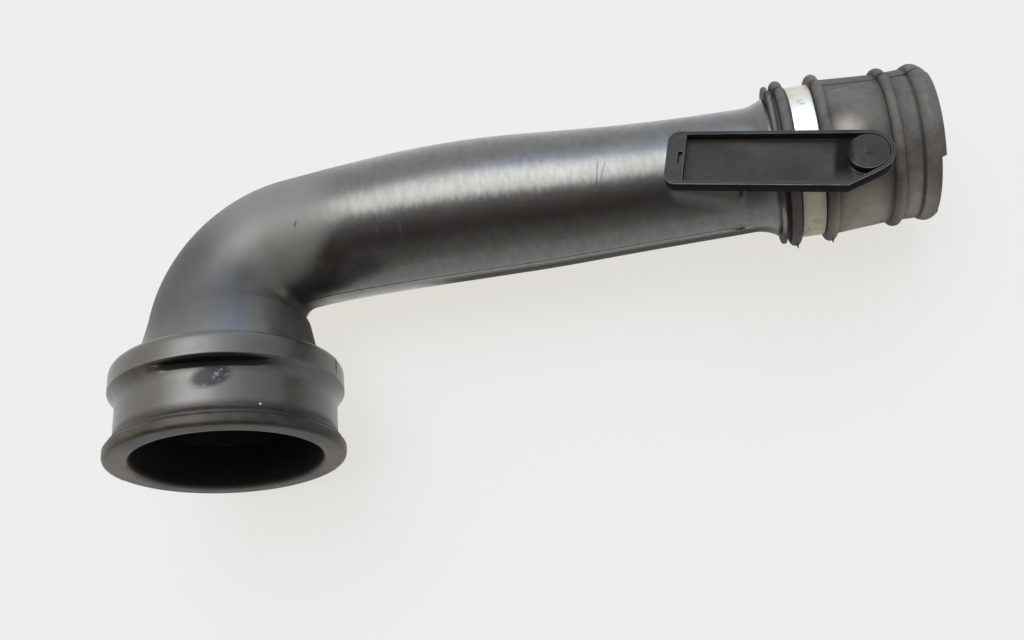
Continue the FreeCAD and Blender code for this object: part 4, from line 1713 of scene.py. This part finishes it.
@dataclass
class InletCuff:
    """The large rubber cuff: lip, clamp groove, undercut ring and rounded shoulder."""

    line: Centreline
    finish: Rubber
    bore: float = 40.8 * MM
    mouth_round: float = 3.2 * MM
    socket: float = 42.05 * MM
    stop: float = 20.25 * MM
    lip: float = 51.5 * MM
    lip_round: float = 2.6 * MM
    lip_end: float = 4.4 * MM
    lip_step: float = 50.2 * MM
    lip_step_end: float = 6.6 * MM
    lip_flank: float = 2.2 * MM
    groove: float = 47.9 * MM
    cove_width: float = 7.0 * MM
    undercut_depth: float = 2.4 * MM
    undercut_width: float = 3.4 * MM
    undercut_turn: float = -22.0
    undercut_spread: float = 30.0
    tolerance: float = 0.001 * MM
    ring_start: float = 29.6 * MM
    ring: float = 51.4 * MM
    ring_bevel: float = 1.0 * MM
    ring_end: float = 33.4 * MM
    shoulder: float = 43.6 * MM
    length: float = 41.8 * MM
    stop_round: float = 0.3 * MM
    lip_edge_round: float = 0.7 * MM
    step_root_round: float = 0.4 * MM
    step_round: float = 0.9 * MM
    groove_round: float = 1.6 * MM
    bevel_round: float = 0.6 * MM
    ring_round: float = 2.0 * MM
    shoulder_round: float = 7.4 * MM
    end_round: float = 0.5 * MM
    socket_round: float = 0.1 * MM
    cove_steps: int = 5
    mould_turn: float = -94.0
    mould_shift: float = 0.35 * MM
    sides: int = 180

    def cove(self, along: float) -> float:
        """Find the hollow curve that leads from the groove up to the ring.

        Args:
            along: a place along the cuff.

        Returns:
            The curve's radius there.
        """
        rise = self.ring - self.ring_bevel - self.groove
        arc = (self.cove_width ** 2 + rise ** 2) / (2 * rise)
        past = along - (self.ring_start - self.cove_width)
        return self.groove + arc - math.sqrt(arc ** 2 - past ** 2)

    def cut_undercut(self, along: float, radius: float, turn: float) -> Pair:
        """Raise the undercut's floor to its crescent, whose circle lies off the cuff's axis.

        Args:
            along: a point's place along the cuff.
            radius: its radius.
            turn: its turn in degrees.

        Returns:
            Its place along and its radius.
        """
        slot_middle = self.ring_start - self.undercut_width / 2
        in_slot = abs(along - slot_middle) < self.undercut_width / 2 + self.tolerance
        if not in_slot or not self.socket < radius < self.cove(along):
            return along, radius
        deep, high = self.groove - self.undercut_depth, self.ring - self.ring_bevel
        shift = (high ** 2 - deep ** 2) / (2 * (deep - high * math.cos(math.radians(self.undercut_spread))))
        angle = math.radians(turn - self.undercut_turn)
        floor = math.sqrt((deep + shift) ** 2 - (shift * math.sin(angle)) ** 2) - shift * math.cos(angle)
        return along, max(radius, min(floor, self.cove(along)))

    def section(self) -> Section:
        """Draw the cuff's section, with the undercut as deep as it gets.

        Returns:
            Its points in order.
        """
        step_start = self.lip_end + self.lip - self.lip_step
        slot_start = self.ring_start - self.undercut_width
        floor = self.groove - self.undercut_depth
        cove_start = self.ring_start - self.cove_width
        cove_step = (slot_start - cove_start) / self.cove_steps
        cove_places = [cove_start + cove_step * step for step in range(self.cove_steps + 1)]
        return Round.corners([
            (self.stop, self.bore, self.stop_round),
            (0.0, self.bore, self.mouth_round),
            (0.0, self.lip, self.lip_round),
            (self.lip_end, self.lip, self.lip_edge_round),
            (step_start, self.lip_step, self.step_root_round),
            (self.lip_step_end, self.lip_step, self.step_round),
            (self.lip_step_end + self.lip_flank, self.groove, self.groove_round),
            *((place, self.cove(place)) for place in cove_places),
            (slot_start, floor),
            (self.ring_start, floor),
            (self.ring_start, self.cove(self.ring_start)),
            (self.ring_start + self.ring_bevel, self.ring, self.bevel_round),
            (self.ring_end, self.ring, self.ring_round),
            (self.length, self.ring, self.shoulder_round),
            (self.length, self.shoulder, self.end_round),
            (self.length, self.socket, self.stop_round),
            (self.stop, self.socket, self.socket_round),
        ])

    def build(self) -> None:
        """Build the cuff and show it."""
        mould = MouldStep(self.mould_turn, 0.0, self.mould_shift, self.socket)
        mesh = turned("inlet_cuff_mesh", self.line.axis_at(0.0), self.section(), self.sides, self.socket,
                      mould, self.cut_undercut)
        show("inlet_cuff_rubber", mesh, "inlet_cuff", Slot.CUFF, self.finish.material())


@dataclass
class OutletSleeve:
    """The ribbed coupling sleeve with its clamp seat, end bead, notch and parting step."""

    line: Centreline
    finish: Rubber
    start: float = 10.2 * MM
    socket: float = 27.55 * MM
    end_lip: float = 33.2 * MM
    end_lip_width: float = 1.8 * MM
    end_lip_groove: float = 1.6 * MM
    groove: float = 30.9 * MM
    rib: float = 34.7 * MM
    rib_width: float = 4.2 * MM
    rib_crown: float = 1.9 * MM
    seat: float = 30.6 * MM
    seat_width: float = 10.0 * MM
    body: float = 32.0 * MM
    waist: float = 30.2 * MM
    far_rib_start: float = 53.2 * MM
    far_rib: float = 32.4 * MM
    far_rib_crown: float = 1.8 * MM
    bead_start: float = 64.0 * MM
    bead_rise: float = 2.05 * MM
    end: float = 72.2 * MM
    end_radius: float = 29.2 * MM
    bore: float = 26.5 * MM
    stop: float = 40.05 * MM
    notch_depth: float = 2.0 * MM
    notch_angle: float = 66.0
    notch_turn: float = -77.0
    notch_edge: float = 0.1
    small_round: float = 0.35 * MM
    lip_round: float = 0.7 * MM
    body_round: float = 0.9 * MM
    end_round: float = 0.5 * MM
    bore_round: float = 0.8 * MM
    bead_steps: int = 12
    tab_root: float = 0.9 * MM
    tab_tip: float = 0.15 * MM
    tab_crest: float = 0.3
    tab_turns: Pair = (-103.0, -105.0)
    tab_reaches: Pair = (2.2 * MM, 1.6 * MM)
    parting: MouldStep = MouldStep(33.0, -0.7 * MM, 0.45 * MM, 27.6 * MM)
    sides: int = 192

    @property
    def near_rib_start(self) -> float:
        """Return where the first full rib begins."""
        return self.start + self.end_lip_width + self.end_lip_groove

    @property
    def seat_start(self) -> float:
        """Return where the clamp's seat begins."""
        return self.near_rib_start + self.rib_width

    @property
    def middle_rib_start(self) -> float:
        """Return where the rib past the clamp begins."""
        return self.seat_start + self.seat_width

    def section(self) -> Section:
        """Draw the sleeve's section.

        Returns:
            Its points in order.
        """
        small, rib_side = self.small_round, self.rib - self.rib_crown
        lip_end = self.start + self.end_lip_width
        middle_end = self.middle_rib_start + self.rib_width
        far_end = self.far_rib_start + self.rib_width
        corners: list[tuple] = [
            (self.start, self.socket, small),
            (self.start, self.end_lip, self.lip_round),
            (lip_end, self.end_lip, self.lip_round),
            (lip_end, self.groove, small),
            (self.near_rib_start, self.groove, small),
            *Round.crown(self.near_rib_start, self.seat_start, rib_side, self.rib_crown),
            (self.seat_start, self.seat, small),
            (self.middle_rib_start, self.seat, small),
            *Round.crown(self.middle_rib_start, middle_end, rib_side, self.rib_crown),
            (middle_end, self.body, self.body_round),
            (self.far_rib_start, self.waist, small),
            *Round.crown(self.far_rib_start, far_end, self.far_rib - self.far_rib_crown, self.far_rib_crown),
            (far_end, self.waist, small),
            (self.bead_start, self.waist, small),
        ]
        for index in range(1, self.bead_steps):
            share = index / self.bead_steps
            level = self.waist + (self.end_radius - self.waist) * share
            along = self.bead_start + (self.end - self.bead_start) * share
            corners.append((along, level + self.bead_rise * math.sin(math.pi * share)))
        corners += [
            (self.end, self.end_radius, self.end_round),
            (self.end, self.bore, self.bore_round),
            (self.stop, self.bore, small),
            (self.stop, self.socket, small),
        ]
        return Round.corners(corners)

    def trim(self, along: float, radius: float, turn: float) -> Pair:
        """Cut the end notch out of a point's place along."""
        inside = abs(turn - self.notch_turn) < self.notch_angle / 2
        return (min(along, self.end - self.notch_depth), radius) if inside else (along, radius)

    def flash_tab(self, along: float, turn: float, reach: float) -> Mesh:
        """Return a torn tab of moulding flash that stands out of a rib.

        Args:
            along: place along the sleeve.
            turn: turn about it in degrees.
            reach: how far the tab stands out of the rib.

        Returns:
            The tab's mesh, with the sleeve's attributes.
        """
        axis = self.line.axis_at(self.line.length)
        root = axis.place(along, self.rib - self.rib_crown / 2, turn)
        tip = axis.place(along, self.rib + reach, turn)
        standing = (tip - root).normalized().to_track_quat("Z", "Y").to_matrix().to_4x4()
        work = bmesh.new()
        bmesh.ops.create_cone(
            work, cap_ends=True, segments=10, radius1=self.tab_root, radius2=self.tab_tip,
            depth=(tip - root).length, matrix=Matrix.Translation((root + tip) / 2) @ standing)
        mesh = made("flash_tab", work)
        write_traits(mesh, along=along, turn=turn, crest=self.tab_crest, hollow=0.0, bore=0.0)
        return mesh

    def build(self) -> None:
        """Build the sleeve and show it."""
        edges = [self.notch_turn + side * (self.notch_angle / 2 + shift)
                 for side in (-1, 1) for shift in (-self.notch_edge, self.notch_edge)]
        axis = self.line.axis_at(self.line.length)
        meshes = [turned("outlet_sleeve_mesh", axis, self.section(), self.sides, self.socket, self.parting,
                         self.trim, edges)]
        ribs = self.near_rib_start, self.middle_rib_start
        for start, turn, reach in zip(ribs, self.tab_turns, self.tab_reaches):
            meshes.append(self.flash_tab(start + self.rib_width / 2, turn, reach))
        show("outlet_sleeve_rubber", joined(meshes), "outlet_cuff", Slot.SLEEVE, self.finish.material())


@dataclass
class EarClamp:
    """The strip steel band and its pinched ear."""

    sleeve: OutletSleeve
    finish: BandSteel
    width: float = 9.0 * MM
    thickness: float = 0.8 * MM
    ear_width: float = 8.0 * MM
    ear_height: float = 5.2 * MM
    ear_turn: float = 130.0
    ear_bend: float = 1.4 * MM
    ear_sink: float = 0.1 * MM
    ear_steps: int = 6
    fit_gap: float = 0.05 * MM
    corner: float = 0.25 * MM
    sides: int = 180

    @property
    def middle_radius(self) -> float:
        """Return the radius of the middle of the band's thickness."""
        return self.sleeve.seat + self.fit_gap + self.thickness / 2

    def band(self, axis: AxisFrame) -> SweepPath:
        """Lay the path of the band.

        Args:
            axis: the axis at the middle of the band.

        Returns:
            A closed ring.
        """
        turns = [360.0 * index / self.sides for index in range(self.sides)]
        points = [axis.place(0.0, self.middle_radius, turn) for turn in turns]
        facings = [(point - axis.point).normalized() for point in points]
        return SweepPath(points, facings, 1.0, turns, closed=True)

    def ear(self, axis: AxisFrame) -> SweepPath:
        """Lay the path of the ear: two upright sides and a flat top with round bends.

        Args:
            axis: the axis at the middle of the band.

        Returns:
            An open loop that stands on the band.
        """
        up = axis.place(0.0, 1.0, self.ear_turn) - axis.point
        side = axis.along.cross(up)
        bend, half = self.ear_bend, self.ear_width / 2 - self.thickness / 2
        knee = self.ear_height - self.thickness / 2 - bend
        loop = [(-half, -self.ear_sink), (-half, knee)]
        for step in range(1, self.ear_steps + 1):
            turn = math.pi / 2 * step / self.ear_steps
            loop.append((-half + bend * (1 - math.cos(turn)), knee + bend * math.sin(turn)))
        loop += [(-across, height) for across, height in reversed(loop)]
        points = [axis.point + side * across + up * (self.middle_radius + height) for across, height in loop]
        ahead = [after - before for before, after in zip(points[:1] + points[:-1], points[1:] + points[-1:])]
        return SweepPath(points, [step.cross(axis.along).normalized() for step in ahead], 1.0, 0.0)

    def build(self) -> None:
        """Build the band and its ear and show them as one piece."""
        outlet = self.sleeve.line.axis_at(self.sleeve.line.length)
        middle = outlet.along * (self.sleeve.seat_start + self.sleeve.seat_width / 2)
        axis = AxisFrame(outlet.point + middle, outlet.along, outlet.outer, outlet.normal)
        material = self.finish.material()
        tree = sweep_tree("Band Sweep", Profile.STRIP)
        mesh = joined([
            outward(swept(name, path, tree, width=self.width, thickness=self.thickness, corner=self.corner,
                          material=material))
            for name, path in (("band", self.band(axis)), ("ear", self.ear(axis)))])
        spots = [vertex.co for vertex in mesh.vertices]
        write_traits(
            mesh, along=[(spot - outlet.point).dot(outlet.along) for spot in spots],
            turn=[outlet.turn_of(spot) for spot in spots])
        show("band_clamp_steel", mesh, "ear_clamp", Slot.BAND, material)


@dataclass
class BracketArm:
    """The channel arm, its solid taken from the frame and given rounded edges, a painted shadow in its
    pocket, painted shade on its near walls and a painted highlight on its near rim.
    """

    place: ArmFrame
    boss: Vector
    effects: Effects
    edge: float = 0.5 * MM
    merge: float = 0.001 * MM
    flat: float = 0.5
    crease: float = 40.0
    sharp: float = 50.0
    inner_wear: float = 0.3
    rim_reach: float = 13.0 * MM
    rim_lean: float = 0.15
    wall_lean: float = 0.5
    pocket_back: float = 8.5 * MM
    pocket_drop: float = 4.0 * MM

    def build(self) -> None:
        """Build the arm and show it."""
        corner, (long, wide, up) = self.place.place(0.0, 0.0, 0.0), self.place.directions()
        # Centre of the painted shadow in the pocket beside the boss.
        pocket = self.boss - long * self.pocket_back - up * self.pocket_drop
        finish = ArmPlastic(self.effects, pocket=tuple(pocket), pocket_axis=tuple(long))
        work = bmesh.new()
        work.from_mesh(frame["nodes"]["bracket_arm"].data)
        bmesh.ops.remove_doubles(work, verts=work.verts, dist=self.merge)
        flat, crease = math.radians(self.flat), math.radians(self.crease)
        bmesh.ops.dissolve_limit(work, angle_limit=flat, verts=work.verts, edges=work.edges)
        worn = work.faces.layers.float.new(Trait.EDGE.value)
        wall_shade = work.faces.layers.float.new(Trait.HOLLOW.value)
        creases = [edge for edge in work.edges if edge.is_manifold and edge.calc_face_angle() > crease]
        rounded = bmesh.ops.bevel(
            work, geom=creases, offset=self.edge, segments=3, profile=0.5, affect="EDGES",
            clamp_overlap=True)["faces"]
        work.normal_update()
        # Rounded edges get light rubbing. Near-rim faces that look up and out get the full pale colour,
        # partly rubbing and partly a painted highlight. Near outer walls get painted shade.
        for face in rounded:
            face[worn] = self.inner_wear
        for face in work.faces:
            outward_near = -face.normal.dot(wide)
            if (face.calc_center_median() - corner).dot(wide) >= self.rim_reach:
                continue
            if outward_near > self.rim_lean and face.normal.dot(up) > self.rim_lean:
                face[worn] = 1.0
            elif outward_near > self.wall_lean:
                face[wall_shade] = 1.0
        mesh = made("arm_mesh", work)
        show("bracket_arm_plastic", mesh, "bracket_arm", Slot.ARM, finish.material(), self.sharp)


# Studio


def pointing(bearing: float, height: float) -> Vector:
    """Return the direction at a bearing and a height in degrees."""
    around, up = math.radians(bearing), math.radians(height)
    return Vector((math.cos(around) * math.cos(up), math.sin(around) * math.cos(up), math.sin(up)))


@dataclass(frozen=True)
class Glow:
    """A soft patch of the dome, with its bearing from +X, its height and its reach in degrees."""

    azimuth: float
    elevation: float
    inner: float
    outer: float
    colour: Colour

    @property
    def direction(self) -> Vector:
        """Return the direction of the patch's middle."""
        return pointing(self.azimuth, self.elevation)


@dataclass
class Studio:
    """The pale floor, the soft dome and the camera."""

    hose: HoseFrame
    floor_size: float = 6.0
    floor_glow: Colour = (0.722, 0.704, 0.656)
    floor_lit: Colour = (0.105, 0.122, 0.168)
    floor_bounce: Colour = (0.76, 0.74, 0.69)
    back_sky: tuple[tuple[float, Colour], ...] = (
        (0.0, (0.92, 0.90, 0.86)),
        (0.30, (0.92, 0.92, 0.90)),
        (0.70, (1.15, 1.14, 1.10)),
        (1.0, (0.95, 0.93, 0.88)),
    )
    front_sky: tuple[tuple[float, Colour], ...] = (
        (0.0, (0.60, 0.58, 0.52)),
        (0.34, (0.33, 0.315, 0.28)),
        (0.70, (0.10, 0.092, 0.078)),
        (1.0, (0.05, 0.045, 0.04)),
    )
    glows: tuple[Glow, ...] = (
        Glow(103.0, 63.0, 6.0, 29.0, (5.2, 5.1, 4.8)),
        Glow(76.0, 44.0, 8.0, 30.0, (0.55, 0.75, 1.15)),
        Glow(66.0, 15.0, 7.0, 17.0, (0.35, 0.75, 1.40)),
    )
    camera_across: float = 208.68 * MM
    camera_along: float = -124.42 * MM
    camera_height: float = 344.62 * MM
    camera_bearing: float = -65.70
    camera_elevation: float = 62.54
    camera_roll: float = -34.10
    camera_clip: float = 10.0 * MM
    focal_pixels: float = 900.0
    image_width: float = 1024.0
    sensor_width: float = 36.0
    horizon_blend: float = 0.45

    def build(self) -> None:
        """Build the floor, dome and camera."""
        self.floor()
        self.world()
        self.camera()
        bpy.context.scene.view_settings.view_transform = "Standard"

    def floor(self) -> None:
        """Lay the pale table under the hose."""
        half = self.floor_size / 2
        low = min(CAD_BOX[0][2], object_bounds()[0][2])
        corners = [(-half, -half, low), (half, -half, low), (half, half, low), (-half, half, low)]
        mesh = bpy.data.meshes.new("table_top")
        mesh.from_pydata(corners, [], [(0, 1, 2, 3)])
        material = bpy.data.materials.new("table_pale")
        canvas = NodeCanvas.on(material)
        lit = canvas.add("ShaderNodeBsdfDiffuse", {"Color": self.floor_lit}).outputs[0]
        glow = canvas.add("ShaderNodeEmission", {"Color": self.floor_glow, "Strength": 1.0}).outputs[0]
        seen = canvas.add("ShaderNodeAddShader", {0: lit, 1: glow}).outputs[0]
        bounce = canvas.add("ShaderNodeBsdfDiffuse", {"Color": self.floor_bounce}).outputs[0]
        rays = canvas.add("ShaderNodeLightPath").outputs
        direct = canvas.most(rays["Is Camera Ray"], rays["Is Glossy Ray"], rays["Is Transmission Ray"])
        surface = canvas.add("ShaderNodeMixShader", {0: direct, 1: bounce, 2: seen}).outputs[0]
        canvas.add("ShaderNodeOutputMaterial", {"Surface": surface})
        mesh.materials.append(material)
        linked("table", mesh)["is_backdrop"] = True

    def world(self) -> None:
        """Set a dome that is pale behind the hose, dim in front of it, and bright in its glows."""
        world = bpy.data.worlds.new("studio_dome")
        canvas = NodeCanvas.on(world)
        direction = canvas.add("ShaderNodeTexCoord").outputs["Generated"]
        parts = canvas.add("ShaderNodeSeparateXYZ", {0: direction}).outputs
        behind = canvas.smooth(parts["Y"], -self.horizon_blend, self.horizon_blend)
        front, back = (self.ramp(canvas, parts["Z"], sky) for sky in (self.front_sky, self.back_sky))
        colour = canvas.blend(behind, front, back)
        for glow in self.glows:
            facing = canvas.vector("DOT_PRODUCT", direction, glow.direction)["Value"]
            edge, core = (math.cos(math.radians(reach)) for reach in (glow.outer, glow.inner))
            colour = canvas.blend(canvas.smooth(facing, edge, core), colour, glow.colour, "ADD")
        dome = canvas.add("ShaderNodeBackground", {"Color": colour, "Strength": 1.0})
        canvas.add("ShaderNodeOutputWorld", {"Surface": dome.outputs[0]})
        bpy.context.scene.world = world

    def ramp(self, canvas: NodeCanvas, height: Link, sky: Sequence[tuple[float, Colour]]) -> NodeSocket:
        """Colour a sky by its height.

        Args:
            canvas: the world's canvas.
            height: height from the horizon, 0, to overhead, 1.
            sky: heights with their colours, in rising order.

        Returns:
            The colour.
        """
        ramp = canvas.add("ShaderNodeValToRGB", {0: height})
        stops = ramp.color_ramp.elements
        while len(stops) < len(sky):
            stops.new(0.5)
        for stop, (place, colour) in zip(stops, sky):
            stop.position = place
            stop.color = (*colour, 1.0)
        return ramp.outputs[0]

    def camera(self) -> None:
        """Set the camera at the photograph's viewing angle."""
        bearing, roll = math.radians(self.camera_bearing), math.radians(self.camera_roll)
        back = self.hose.direction(*pointing(self.camera_bearing, self.camera_elevation))
        level = self.hose.direction(-math.sin(bearing), math.cos(bearing))
        right = level * math.cos(roll) + back.cross(level) * math.sin(roll)
        place = self.hose.place(self.camera_across, self.camera_along, self.camera_height)
        lens = bpy.data.cameras.new("photo_camera")
        lens.sensor_width = self.sensor_width
        lens.lens = self.focal_pixels / self.image_width * self.sensor_width
        lens.clip_start = self.camera_clip
        stand = linked("photo_camera", lens)
        turn = Matrix((right, back.cross(right), back)).transposed().to_4x4()
        stand.matrix_world = Matrix.Translation(place) @ turn
        bpy.context.scene.camera = stand


def main() -> None:
    """Build every piece of the hose and the studio around it."""
    logging.basicConfig(level=logging.INFO, format="%(message)s")
    hose = HoseFrame.from_record(frame["record"], mouth_recess=2.6 * MM)
    line = Centreline(hose)
    effects = Effects()
    arm = ArmFrame(line)
    boss = next(mount for mount in frame["record"]["mounts"] if mount["name"] == "arm_boss")
    pipe = AirPipe(line, PipePlastic(effects))
    pipe.build(ArmPad(arm, pipe.radius_curve()))
    InletCuff(line, cuff_rubber(effects)).build()
    sleeve = OutletSleeve(line, sleeve_rubber(effects))
    sleeve.build()
    EarClamp(sleeve, BandSteel(effects)).build()
    BracketArm(arm, Vector(boss["pos_m"]), effects).build()
    Studio(hose).build()


if __name__ == "__main__":
    main()
